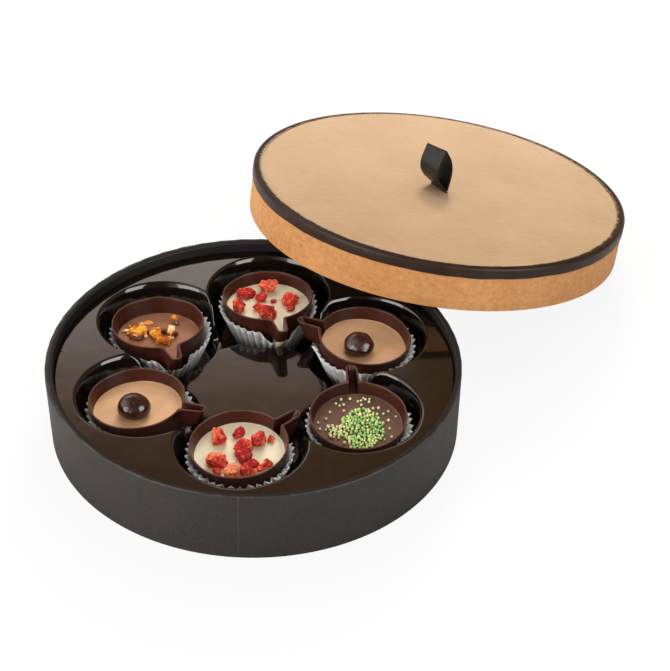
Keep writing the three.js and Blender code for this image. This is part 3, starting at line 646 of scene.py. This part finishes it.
def tray(finish):
    """Formed sheet: one well's share of it skinned ring by ring, then copied round the centre."""
    foot, top = WELL_RADIUS - WELL_DRAFT, FLANGE_TOP
    well = [(0.0, WELL_FLOOR)]
    well += rounded((foot - WELL_FILLET, WELL_FLOOR + WELL_FILLET), WELL_FILLET, -90, 0, 6)
    for step in range(13):
        turn = radians(6.0 * step)
        out = WELL_RADIUS + WELL_FLARE * (1.0 - cos(turn))
        well.append((out, top - FLARE_DEPTH * (1.0 - sin(turn))))
    well.append((well[-1][0] + 0.35, top))
    island, island_foot = ISLAND_RADIUS - ISLAND_ROUND, ISLAND_RADIUS + ISLAND_DRAFT
    centre = [(0.0, ISLAND_TOP)]
    centre += rounded((island, ISLAND_TOP - ISLAND_ROUND), ISLAND_ROUND, 90, 20, 6)
    centre += [(island_foot, TROUGH_FLOOR + 0.4), (island_foot + 0.6, TROUGH_FLOOR)]
    centre += [(TROUGH_RADIUS - TROUGH_DRAFT, TROUGH_FLOOR), (TROUGH_RADIUS, top)]
    half = pi / WELL_COUNT
    neighbours = [Vector(around(WELL_RING, 2 * half * side)) for side in (-1, 0, 1)]

    def height(x, y):
        """Level of the sheet, with wells and trough blended into one another."""
        spot = Vector((x, y))
        depths = [top - level_at(well, (spot - middle).length) for middle in neighbours]
        depths.append(top - level_at(centre, spot.length))
        return top - sum(depth ** WELL_BLEND for depth in depths) ** (1 / WELL_BLEND)

    outer_steps, inner_steps, flange_steps = 22, 54, 20
    corner = atan2(FLANGE_RADIUS * sin(half), FLANGE_RADIUS * cos(half) - WELL_RING)
    turns = [corner * step / outer_steps for step in range(outer_steps + 1)]
    turns += [corner + (pi - corner) * step / inner_steps for step in range(1, inner_steps + 1)]
    turns += [-turn for turn in reversed(turns[1:-1])]

    def reach(turn):
        """Way from the well's middle to the edge of its share of the sheet."""
        along, across = cos(turn), abs(sin(turn))
        found = -WELL_RING * along + sqrt((WELL_RING * along) ** 2 + FLANGE_RADIUS ** 2 - WELL_RING ** 2)
        slope = across * cos(half) - along * sin(half)
        if slope > 1e-9:
            found = min(found, WELL_RING * sin(half) / slope)
        return found

    wall_end = WELL_RADIUS + WELL_FLARE + 0.3
    steps = [2.0, 11.0] + [point[0] for point in well[1:8]]
    steps += [foot + WELL_DRAFT * share / 9 for share in range(1, 9)]
    steps += [point[0] for point in well[8:]] + [wall_end]
    reaches = [(turn, reach(turn)) for turn in turns]
    rings = [[(turn, step * min(1.0, end / wall_end)) for turn, end in reaches] for step in steps]
    for step in range(1, flange_steps + 1):
        ring = []
        for turn, end in reaches:
            ring.append((turn, min(wall_end, end) + max(0.0, end - wall_end) * step / flange_steps))
        rings.append(ring)
    placed = []
    for ring in rings:
        spots = [(WELL_RING + out * cos(turn), out * sin(turn)) for turn, out in ring]
        placed.append([(x, y, height(x, y)) for x, y in spots])
    bm = bmesh.new()
    skin_through(bm, placed, 1)
    bmesh.ops.rotate(bm, cent=(0, 0, 0), matrix=spun(FIRST_WELL).to_3x3(), verts=bm.verts)
    bmesh.ops.spin(
        bm, geom=bm.verts[:] + bm.edges[:] + bm.faces[:], axis=(0, 0, 1), cent=(0, 0, 0),
        angle=tau * (WELL_COUNT - 1) / WELL_COUNT, steps=WELL_COUNT - 1, use_duplicate=True,
    )
    bmesh.ops.remove_doubles(bm, verts=bm.verts, dist=0.02)
    bmesh.ops.dissolve_degenerate(bm, edges=bm.edges, dist=0.005)
    for vert in bm.verts:
        pulled = smoothly(vert.co.z, 14.5, 24.0) * (1.0 - smoothly(vert.co.xy.length, 71.0, 76.5))
        vert.co.y += WELLS_PULLED * pulled
    for out, down in FLANGE_EDGE:
        rim = [edge for edge in bm.edges if edge.is_boundary]
        for vert in points_of(bmesh.ops.extrude_edge_only(bm, edges=rim)["geom"]):
            vert.co.xy *= (FLANGE_RADIUS + out) / vert.co.xy.length
            vert.co.z = top - down
    facing_up(bm)
    thickened(finished("formed_tray", bm, finish, "box", ["tray"]), TRAY_SHEET)


def paper_case(number, finish):
    """Pleated paper case, its pleats a little uneven, pressed out and down under the cup's handle."""
    chance = random.Random(f"case {number}")
    depths = [chance.uniform(0.8, 1.12) for _ in range(FLUTE_COUNT)]
    leans = [chance.uniform(-0.2, 0.2) for _ in range(FLUTE_COUNT)]
    tops = [chance.uniform(-0.35, 0.35) for _ in range(FLUTE_COUNT)]
    handle = radians(CUPS[number].handle)
    inside = cup_centre(number)
    middle = inside + Vector((*CUPS[number].case, 0.0))
    outward = atan2(middle.y, middle.x)
    steps, rows = 8, 6

    def ring(share, inset):
        points = []
        plain = CASE_FOOT_RADIUS + (CASE_RADIUS - CASE_FOOT_RADIUS) * share - inset
        for index in range(FLUTE_COUNT * steps):
            flute, within = divmod(index, steps)
            phase = within / steps
            turn = tau * (flute + phase + share * leans[flute] * sin(pi * phase)) / FLUTE_COUNT
            wave = 1.0 - 4.0 * abs(phase - 0.5)
            depth = (FLUTE_FOOT_DEPTH + (FLUTE_DEPTH - FLUTE_FOOT_DEPTH) * share) * depths[flute]
            depth *= 1.0 + FLUTES_OPENED * share * smoothly(cos(turn - outward), 0.1, 0.7)
            away = abs((turn - handle + pi) % tau - pi)
            pressed = share * (1.0 - smoothly(away, 0.15, 0.42))
            radius = plain + depth * wave + PRESSED_OUT * pressed
            top = CASE_TOP + (tops[flute] + 0.35 * wave) * share - PRESSED_DOWN * pressed
            height = CASE_FOOT + (top - CASE_FOOT) * share
            spot = middle + Vector((*around(radius, turn), height))
            out, clear = (spot - inside).xy.length, level_at(CUP_SIDE, height) + CASE_CLEARANCE
            if share and out < clear:
                spot.xy = inside.xy + (spot - inside).xy * clear / out
            points.append(spot)
        return points

    bm = bmesh.new()
    fold = bm.verts.layers.float.new("fold")
    rings = [ring(0.0, 5.0), ring(0.0, 0.6)] + [ring(row / rows, 0.0) for row in range(rows + 1)]
    skin_through(bm, rings, 1)
    bm.verts.ensure_lookup_table()
    # The fold layer is 0 in the pleat valleys and 1 on the ridges; the finish paints shade in the valleys
    # from it.
    for index, vert in enumerate(bm.verts):
        vert[fold] = 1.0 - 2.0 * abs(index % steps / steps - 0.5)
    facing_up(bm)
    name, body, nodes = f"pleated_case_{number}", f"case_{number}", [f"paper_case_{number}"]
    thickened(finished(name, bm, finish, body, nodes, 28), CASE_PAPER)


def pinched_outline(cup, height, inset, grown):
    """Outline of a cup from above, pinched out along +X into a blunt spout as far as it has grown."""
    radius = level_at(CUP_SIDE, height) - inset
    mouth, tip = cup.mouth / 2 - inset, cup.tip / 2 - inset
    bend = cup.root * (1.0 - 0.6 * min(1.0, inset / CUP_WALL))
    root = sqrt((radius + bend) ** 2 - (mouth + bend) ** 2)
    start = atan2(mouth + bend, root)
    count = 108
    circle = [start + (tau - 2 * start) * step / count for step in range(count + 1)]
    outline = [around(radius, turn) for turn in circle]
    low_root = rounded((root, -mouth - bend), bend, 180 - degrees(start), 90)[1:]
    corner = max(0.35, TIP_ROUND - inset)
    end = CUP_RADIUS + HANDLE_LENGTH - inset - corner
    low_tip = rounded((end, corner - tip), corner, -90, 0)
    side = [(root + (end - root) * step / 5, mouth + (tip - mouth) * step / 5) for step in range(1, 5)]
    loop = low_root + [(x, -y) for x, y in side] + low_tip
    loop += [(x, -y) for x, y in reversed(loop)]
    for x, y in loop:
        plain = sqrt(radius * radius - y * y)
        outline.append((plain + (x - plain) * grown, y))
    return outline


def chocolate_cup(number, finish):
    """Thin leaning cup whose wall is pinched out into a spout-like handle, with a soft rim."""
    place = handle_place(number)
    unevenness = Vector((number * 7.3, number * 3.1, 0.0))

    def ring(height, inset, grown, edge=0.0):
        points = []
        lift = 0.22 * smoothly(height, 21.9, RIM_LEVEL)
        for x, y in pinched_outline(CUPS[number], height, inset, grown):
            rough = noise.noise(Vector((x, y, 0.0)) * 0.16 + unevenness)
            wide = 1 + 0.008 * rough
            points.append(place @ Vector((x * wide, y * wide, height + lift * rough)))
        return points, edge

    foot = rounded((CUP_FOOT_RADIUS - CUP_FILLET, CUP_FOOT + CUP_FILLET), CUP_FILLET, -90, 0, 4)
    rows = [ring(z, CUP_FOOT_RADIUS - x, 0.0) for x, z in foot]
    rows += [ring(height, 0.0, level_at(SPOUT_OUTSIDE, height)) for height in ROWS_UP]
    half = CUP_WALL / 2
    # The rim rows carry the edge layer, which the finish lightens as a painted highlight.
    for step in range(9):
        turn = pi * step / 8
        rows.append(ring(RIM_LEVEL - half + half * sin(turn), half - half * cos(turn), 1.0, sin(turn)))
    rows += [ring(height, CUP_WALL, level_at(SPOUT_INSIDE, height)) for height in ROWS_DOWN]
    bm = bmesh.new()
    edge_layer = bm.verts.layers.float.new("edge")
    skin_through(bm, [points for points, _ in rows], 2)
    count = len(rows[0][0])
    bm.verts.ensure_lookup_table()
    for index, (_, edge) in enumerate(rows):
        for vert in bm.verts[index * count:(index + 1) * count]:
            vert[edge_layer] = edge
    bmesh.ops.remove_doubles(bm, verts=bm.verts, dist=0.002)
    bmesh.ops.dissolve_degenerate(bm, edges=bm.edges, dist=0.001)
    facing_out(bm)
    nodes = [f"chocolate_cup_{number}"]
    finished(f"cup_{number}", bm, finish, f"chocolate_{number}", nodes)


def set_filling(number, finish):
    """Filling set with a shallow lip up the wall, running into the handle as far as its level reaches."""
    cup = CUPS[number]
    place = handle_place(number)
    top = cup.level

    def ring(inset, height, share=1.0):
        points = []
        for x, y in pinched_outline(cup, top, CUP_WALL + inset, cup.flow):
            spot = Vector((x * share, y * share, height))
            spot.z += 0.12 * noise.noise(spot * 0.22 + Vector((number * 5.0, 0.0, 0.0)))
            points.append(place @ spot)
        return points

    rows = [ring(0.1, CUP_FLOOR + 0.1, 0.6), ring(-0.02, top - 2.0)]
    lip = ((-0.04, 0.3), (0.15, 0.16), (0.4, 0.05), (0.8, 0.0))
    rows += [ring(inset, top + rise) for inset, rise in lip]
    rows += [ring(0.8, top, share) for share in (0.9, 0.75, 0.55, 0.35, 0.12)]
    bm = bmesh.new()
    skin_through(bm, rows, 2)
    facing_out(bm)
    nodes = [f"filling_{number}"]
    finished(f"set_filling_{number}", bm, finish, f"chocolate_{number}", nodes, 70)


def crumb(bm, foot, size, seed, tone):
    """Broken piece of dried fruit: a ball cut flat by a few breaks, roughened and set down on its foot."""
    tones = bm.verts.layers.float.get("tone") or bm.verts.layers.float.new("tone")
    chance = random.Random(f"crumb {seed}")
    breaks = []
    for _ in range(10):
        face = Vector([chance.gauss(0.0, 1.0) for axis in "xyz"]).normalized()
        breaks.append((face, chance.uniform(0.5, 0.92), chance.uniform(-0.35, 0.35)))
    shift = Vector((seed * 3.7, seed * 1.9, seed * 5.3))
    middle = Vector(foot) + Vector((0.0, 0.0, 0.42 * size[2]))
    for vert in bmesh.ops.create_icosphere(bm, subdivisions=4, radius=1.0)["verts"]:
        way = vert.co.normalized()
        cuts = [(depth / way.dot(face), shade) for face, depth, shade in breaks if way.dot(face) > 0.1]
        out, shade = min(cuts + [(1.1, 0.0)])
        rough = 0.17 * noise.noise(way * 3.2 + shift) + 0.12 * noise.noise(way * 7.0 + shift)
        rough += 0.05 * noise.noise(way * 13.0 + shift)
        spot = way * (1.16 * out + rough)
        vert.co = middle + Vector((spot.x * size[0] / 2, spot.y * size[1] / 2, spot.z * size[2] / 2))
        vert.co.z = max(vert.co.z, foot[2] - 0.15)
        # Tone is random per break and noise, plus painted shade in the hollows and painted light on the
        # bumps, from the relief.
        shade += tone + 2.4 * rough + 0.5 * noise.noise(way * 4.0 - shift)
        vert[tones] = min(1.0, max(0.0, shade))


def numbered(start):
    """CAD nodes of one kind of topping."""
    return [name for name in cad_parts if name.startswith(start)]


def strawberry_bits(number, finish, bits):
    """Dried strawberry on a filling: larger pieces that stand for the CAD nodes, the smallest among them."""
    bm = bmesh.new()
    for index, (x, y, *size, tone) in enumerate(bits):
        crumb(bm, (x, y, CUPS[number].level), size, number * 20 + index, tone)
    nodes, place = numbered(f"strawberry_{number}_"), cup_place(number)
    finished(f"strawberry_bits_{number}", bm, finish, f"chocolate_{number}", nodes, 24, place)


def brittle_bits(number, finish, bits):
    """Shards of brittle and nut: hulls round a few points, the amber ones in clusters with crumbs."""
    chance = random.Random(f"brittle {number}")
    shards = []
    for x, y, length, width, height, tone in bits:
        cluster = tone < 0.1 and length > 3.0
        count = 4 if cluster else 1
        for index in range(count):
            right, back = around(0.3 * length * cluster, tau * (index + chance.random()) / 4)
            size = chance.uniform(0.5, 0.7) if cluster else 1.0
            tall = height * chance.uniform(0.7, 1.0)
            shards.append((x + right, y + back, length * size, width * size, tall, tone))
        for _ in range(count):
            turn, out = chance.uniform(0.0, tau), chance.uniform(0.5, 0.9) * length
            right, back = around(out, turn)
            size = chance.uniform(0.9, 1.7)
            kind = chance.choice((0.05, 0.05, 0.25, 0.45, 0.75))
            shards.append((x + right, y + back, size, size, size, kind))
    bm = bmesh.new()
    layer = bm.verts.layers.float.new("tone")
    for x, y, length, width, height, tone in shards:
        foot = Vector((x, y, CUPS[number].level))
        verts = []
        for _ in range(12):
            way = Vector([chance.uniform(-1, 1) for axis in "xyz"]).normalized()
            spot = Vector((way.x * length, way.y * width, (way.z + 0.75) * height)) * 0.76
            verts.append(bm.verts.new(foot + spot))
        hull = bmesh.ops.convex_hull(bm, input=verts)
        loose = points_of(hull["geom_interior"] + hull["geom_unused"])
        bmesh.ops.delete(bm, geom=list(dict.fromkeys(loose)), context="VERTS")
        for vert in verts:
            if vert.is_valid:
                amber = tone < 0.3
                vert[layer] = chance.uniform(0.04, 0.42) if amber else tone + chance.uniform(-0.03, 0.08)
    bmesh.ops.bevel(
        bm, geom=bm.edges[:], offset=0.07, affect="EDGES", segments=1, profile=0.5,
        material=-1, clamp_overlap=True,
    )
    facing_out(bm)
    nodes, place = numbered(f"brittle_{number}_"), cup_place(number)
    finished(f"brittle_bits_{number}", bm, finish, f"chocolate_{number}", nodes, 20, place)


def coated_bean_at(number, finish, turn, radii, shift):
    """Chocolate-coated bean: a lumpy egg, flat below, sunk a little into the filling."""
    node = f"coffee_bean_{number}"
    low, high = (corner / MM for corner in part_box(node))
    middle = (low + high) / 2
    middle = Vector((middle.x + shift[0], middle.y + shift[1], low.z + 0.55 * radii[2]))
    bm = bmesh.new()
    lumps = Vector((number * 4.1, number * 2.7, 1.3))
    spin = spun(turn).to_3x3()
    for vert in bmesh.ops.create_icosphere(bm, subdivisions=5, radius=1.0)["verts"]:
        way = vert.co.normalized()
        swell = 1.0 + 0.06 * noise.noise(way * 1.4 + lumps) + 0.02 * noise.noise(way * 4.0 + lumps)
        spot = spin @ (way * swell)
        if spot.z < 0.0:
            spot.z *= 0.62
        vert.co = middle + Vector((spot.x * radii[0], spot.y * radii[1], spot.z * radii[2]))
    finished(f"glazed_bean_{number}", bm, finish, f"chocolate_{number}", [node])


def sugar_pearls(number, finish):
    """Loose sugar pearls: a thin heap toward the front, green to yellow, and pale single ones round it."""
    chance = random.Random("sugar pearls")
    level = CUPS[number].level
    bm = bmesh.new()
    tones = bm.verts.layers.float.new("tone")
    laid = []

    def lay(x, y, radius, tone, lift=0.0):
        for vert in bmesh.ops.create_uvsphere(bm, u_segments=8, v_segments=6, radius=radius)["verts"]:
            vert.co += Vector((x, y, level + radius * 0.8 + lift))
            vert[tones] = tone
        laid.append((x, y, radius))

    for x, y in PEARLS_APART:
        lay(x, y, chance.uniform(0.46, 0.64), chance.uniform(0.75, 1.0))
    tries = 0
    while len(laid) < PEARL_COUNT and tries < PEARL_TRIES:
        tries += 1
        x, y = chance.uniform(-13.0, 11.5), chance.uniform(-13.0, 9.5)
        radius = chance.choice(PEARL_RADII)
        heap, spill = hypot((x - 1.5) / 8.4, (y + 2.6) / 10.2), hypot((x + 8.6) / 4.5, (y + 4.0) / 4.5)
        out = min(heap, 0.25 + spill)
        if chance.random() < smoothly(out, 0.45, 1.15) or hypot(x, y) > PEARLS_WITHIN:
            continue
        if all(hypot(x - ox, y - oy) > 0.88 * (radius + other) for ox, oy, other in laid):
            yellow = 0.4 * (1.0 - smoothly(x, -7.0, -2.0)) + 0.2 * (1.0 - smoothly(y, -10.0, -5.0))
            tone = min(1.0, chance.choice(PEARL_TONES) + yellow)
            lay(x, y, radius, tone, 0.5 * chance.random() * (1.0 - min(1.0, out)))
    name, body, nodes = f"pearls_{number}", f"chocolate_{number}", [f"sugar_pearls_{number}"]
    finished(name, bm, finish, body, nodes, place=cup_place(number))


def lid_frame(narrowed=LID_NARROWED):
    """The lid's own axes: leaning on the rim, its far edge on the table, and a little out of round."""
    away = Matrix.Translation((LEAN_DISTANCE, 0.0, LID_RADIUS * sin(radians(LID_TILT)) + SEAT))
    left = Matrix.Translation((LID_LEFT, 0.0, 0.0))
    oval = left @ Matrix.Diagonal((narrowed, 1.0, 1.0, 1.0)) @ left.inverted()
    return oval @ spun(LEAN_AZIMUTH) @ away @ spun(LID_TILT, "Y")


def lid_top(finish):
    """Round top board with a soft edge under the tape."""
    bm = bmesh.new()
    radii = [LID_RADIUS * step / 24 for step in range(24)]
    profile = [(radius, TOP_UNDERSIDE) for radius in radii] + [(LID_RADIUS, TOP_UNDERSIDE)]
    profile += rounded((LID_RADIUS - TOP_ROUND, LID_HEIGHT - TOP_ROUND), TOP_ROUND, 0, 90, 3)
    profile += [(radius, LID_HEIGHT) for radius in reversed(radii)]
    turned(bm, profile, 180, closed=False)
    finished("kraft_top", bm, finish, "lid", ["lid_top_board"], 50, lid_frame())


def lid_skirt(finish):
    bm = bmesh.new()
    top = TOP_UNDERSIDE - GLUE
    profile = rounded((LID_RADIUS - SKIRT_ROUND, SKIRT_ROUND), SKIRT_ROUND, -90, 0, 3)
    profile += [(LID_RADIUS, top), (LID_INSIDE, top)]
    profile += rounded((LID_INSIDE + SKIRT_ROUND, SKIRT_ROUND), SKIRT_ROUND, 180, 270, 3)
    turned(bm, profile, 240)
    finished("kraft_skirt", bm, finish, "lid", ["lid_skirt"], 50, lid_frame())


def lid_edging(finish):
    """Black tape over the top corner, softly uneven along both edges and wider at the sides."""
    bm = bmesh.new()
    outside, top = LID_RADIUS + GLUE + EDGING_TAPE, LID_HEIGHT + GLUE + EDGING_TAPE
    centre = (outside - EDGING_CORNER, top - EDGING_CORNER)
    foot, lap = LID_HEIGHT - EDGING_DROP, LID_RADIUS - EDGING_LAP
    profile = [(outside, foot), (outside, foot + 1.5)] + rounded(centre, EDGING_CORNER, 0, 90, 6)
    profile += [(lap, top), (lap, top - EDGING_TAPE)]
    profile += rounded(centre, EDGING_CORNER - EDGING_TAPE, 90, 0, 6) + [(outside - EDGING_TAPE, foot)]
    turned(bm, profile, 300)
    edge = bm.verts.layers.float.new("edge")
    for vert in bm.verts:
        radius = hypot(vert.co.x, vert.co.y)
        turn = atan2(vert.co.y, vert.co.x) + radians(LEAN_AZIMUTH)
        wander = noise.noise(Vector((vert.co.x, vert.co.y, 0.0)) * 0.12)
        if abs(vert.co.z - foot) < 0.1:
            vert.co.z += 0.3 * wander
        if abs(radius - lap) < 0.1:
            width = LEAST_LAP + SIDE_LAP * cos(turn) ** 2 - FRONT_LAP * sin(turn) + 0.25 * wander
            vert.co.xy *= (LID_RADIUS - width) / radius
            vert[edge] = 0.6 + 0.45 * smoothly(cos(turn - radians(FRAYED_TOWARD)), -0.2, 0.8)
    finished("lid_tape", bm, finish, "lid", ["lid_edging"], 50, lid_frame())


def ribbon_loop(finish):
    """One strip of ribbon folded over at the top, standing in the slit with its sides bowed apart."""
    bm = bmesh.new()
    bm.loops.layers.uv.new("UVMap")
    bmesh.ops.create_grid(bm, x_segments=24, y_segments=96, size=1.0, calc_uvs=True)
    slit = Matrix.Translation((*SLIT_OFFSET, LID_HEIGHT + RIBBON_GAP)) @ spun(SLIT_TURN)

    def bowed(along):
        """Way out and up of the strip's middle line, from its front foot at -1 to its back foot at 1."""
        share = 1.0 - abs(along)
        bow = -RIBBON_FRONT if along < 0.0 else RIBBON_BACK
        gap = RIBBON_CLOTH * (0.6 if along > 0.0 else -0.6)
        out = bow * sin(pi * share ** 1.1) + gap * (1.0 - share)
        return out, 0.2 + (RIBBON_HEIGHT - 0.4) * share

    for vert in bm.verts:
        across, (out, rise) = vert.co.x * RIBBON_WIDTH / 2, bowed(vert.co.y)
        twist = Matrix.Rotation(radians(RIBBON_TWIST) * rise / RIBBON_HEIGHT, 3, "Z")
        vert.co = twist @ Vector((out, across, rise))
    bmesh.ops.transform(bm, matrix=lid_frame(1.0) @ slit @ spun(RIBBON_LEAN, "Y"), verts=bm.verts)
    facing_out(bm)
    loop = finished("ribbon_strip", bm, finish, "ribbon", ["ribbon_loop"])
    thickened(loop, RIBBON_CLOTH, 0.0)


def dressed(node, finish):
    """A CAD node that stays in view with a better finish."""
    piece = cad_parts[node]
    piece.data.materials.clear()
    piece.data.materials.append(finish)


def soft_light(name, place, size, power, lights, mirrored):
    """Rectangular soft light turned to the box; it may only light, or only be mirrored in gloss."""
    light = bpy.data.lights.new(name, "AREA")
    light.shape = "RECTANGLE"
    light.size, light.size_y = size
    light.energy = power
    light.color = WARM_WHITE
    lamp = in_scene(name, light)
    lamp.location = place
    lamp.rotation_euler = (LIT_MIDDLE - Vector(place)).to_track_quat("-Z", "Y").to_euler()
    lamp.visible_diffuse = lights
    lamp.visible_glossy = mirrored


def studio_floor():
    """Pale floor that the camera sees as nearly white, with the object's soft shadow kept."""
    finish = Finish("floor", others={"Base Color": (0.86, 0.86, 0.86, 1.0), "Roughness": 0.9})
    seen = finish.node("LightPath", output="Is Camera Ray")
    white = finish.node("Emission", {"Color": (1.0, 1.0, 1.0, 1.0), "Strength": 1.0})
    surface = Value(finish, finish.shader.outputs[0])
    shown = finish.node("MixShader", {0: seen * FLOOR_WHITENED, 1: surface, 2: white})
    finish.join(finish.tree.nodes["Material Output"].inputs["Surface"], shown)
    bm = bmesh.new()
    bmesh.ops.create_circle(bm, cap_ends=True, segments=64, radius=FLOOR_RADIUS)
    bmesh.ops.translate(bm, vec=(0.0, 0.0, -FLOOR_DROP), verts=bm.verts)
    floor = meshed("floor", bm, finish.material)


class Surround(Finish):
    """The studio round the object, built up from nodes as a finish is."""

    def __init__(self, world):
        world.use_nodes = True
        self.tree = world.node_tree
        self.shader = self.tree.nodes["Background"]
        self.place = self.node("TexCoord", output="Generated")


def studio_world():
    """White to the camera; gloss sees a bright low backdrop in a dim room; the rest is even light."""
    world = bpy.data.worlds.new("studio")
    bpy.context.scene.world = world
    studio = Surround(world)
    behind = studio.between(studio.axis("Y"), 0.1, 0.55)
    backdrop = studio.ramp(studio.axis("Z"), [
        (0.0, (0.10, 0.09, 0.08)), (0.38, (0.16, 0.14, 0.125)), (0.5, (0.8, 0.71, 0.65)),
        (0.575, (1.05, 0.94, 0.88)), (0.6, (0.84, 0.72, 0.65)), (0.62, (0.58, 0.45, 0.37)),
        (0.64, (0.34, 0.22, 0.15)), (0.66, (0.20, 0.10, 0.05)), (0.72, (0.14, 0.07, 0.035)),
        (1.0, (0.05, 0.03, 0.02)),
    ])
    backdrop = studio.mix(studio.between(studio.axis("X"), 0.02, 0.1), backdrop, (0.165, 0.080, 0.036))
    sides = studio.ramp(studio.axis("X") * 0.5 + 0.5, [
        (0.0, (1.15, 1.09, 1.05)), (0.25, (0.6, 0.56, 0.54)), (0.45, (0.05, 0.045, 0.04)),
        (0.6, (0.05, 0.045, 0.04)), (0.85, (0.09, 0.08, 0.075)), (1.0, (0.12, 0.11, 0.1)),
    ])
    room = studio.mix(behind, sides, backdrop)
    seen = studio.node("LightPath", output="Is Camera Ray")
    mirrored = studio.node("LightPath", output="Is Glossy Ray")
    level = FILL_LIGHT + mirrored * (BACKDROP_LIGHT - FILL_LIGHT) + seen * (1.0 - FILL_LIGHT)
    studio.coat_with({"Color": studio.mix(mirrored, (1.0, 1.0, 1.0), room), "Strength": level})


def studio_camera():
    """Camera at the photograph's place, from the pixel that the box's middle falls on."""
    elevation, roll = radians(VIEW_ELEVATION), radians(VIEW_ROLL)
    place = VIEW_DISTANCE * Vector((0.0, -cos(elevation), sin(elevation)))
    forward = -place.normalized()
    right = Vector((1.0, 0.0, 0.0))
    axes = Matrix((right, right.cross(forward), forward))
    x, y = ORIGIN_PIXEL
    across, up = (x - FRAME_WIDTH / 2) / FOCAL_PIXELS, (FRAME_HEIGHT / 2 - y) / FOCAL_PIXELS
    aim = Vector((across, up, 1.0)).normalized()
    swing = Vector((0.0, 0.0, 1.0)).rotation_difference(aim).to_matrix()
    axes = swing @ Matrix.Rotation(-roll, 3, "Z") @ axes
    pose = Matrix((axes[0], axes[1], -axes[2])).transposed().to_4x4()
    pose.translation = place * MM
    camera = bpy.data.cameras.new("camera")
    camera.sensor_width = SENSOR
    camera.lens = FOCAL_PIXELS * SENSOR / FRAME_HEIGHT
    camera.clip_start = 0.01
    view = in_scene("camera", camera)
    view.matrix_world = pose
    bpy.context.scene.camera = view


board = grey_board()
pleats = case_paper()
chocolate = dark_chocolate()
fillings = {name: filling_finish(name, *look) for name, look in FILLINGS.items()}
berry = strawberry()
bean = coated_bean()
# The last argument of each kraft board is its share of painted light toward the back.
kraft_top = kraft_board(
    "kraft_board", (0.465, 0.288, 0.154), (0.69, 0.48, 0.304), (0.46, 0.28, 0.15), (0.7, 4.0, 4.0), 0.22, 0.53
)
kraft_side = kraft_board(
    "kraft_side", (0.55, 0.23, 0.074), (0.82, 0.41, 0.155), (0.36, 0.14, 0.04), (1.5, 1.5, 2.0), 0.5, 0.0
)
ribbon = black_ribbon()

base_wrap(charcoal_paper())
dressed("base_wall", board)
dressed("base_bottom", board)
tray(tray_plastic())
for cup_number, cup in CUPS.items():
    paper_case(cup_number, pleats)
    chocolate_cup(cup_number, chocolate)
    set_filling(cup_number, fillings[cup.filling])
strawberry_bits(1, berry, BACK_BERRIES)
strawberry_bits(4, berry, FRONT_BERRIES)
brittle_bits(6, brittle(), BRITTLE)
for cup_number, bean_shape in BEANS.items():
    coated_bean_at(cup_number, bean, *bean_shape)
sugar_pearls(3, sugar_pearl())
lid_skirt(kraft_side)
lid_top(kraft_top)
lid_edging(black_tape())
dressed("ribbon_tails", ribbon)
ribbon_loop(ribbon)

studio_floor()
studio_world()
for light_name, light_look in LIGHTS.items():
    soft_light(light_name, *light_look)
studio_camera()
bpy.context.scene.view_settings.view_transform = "Standard"
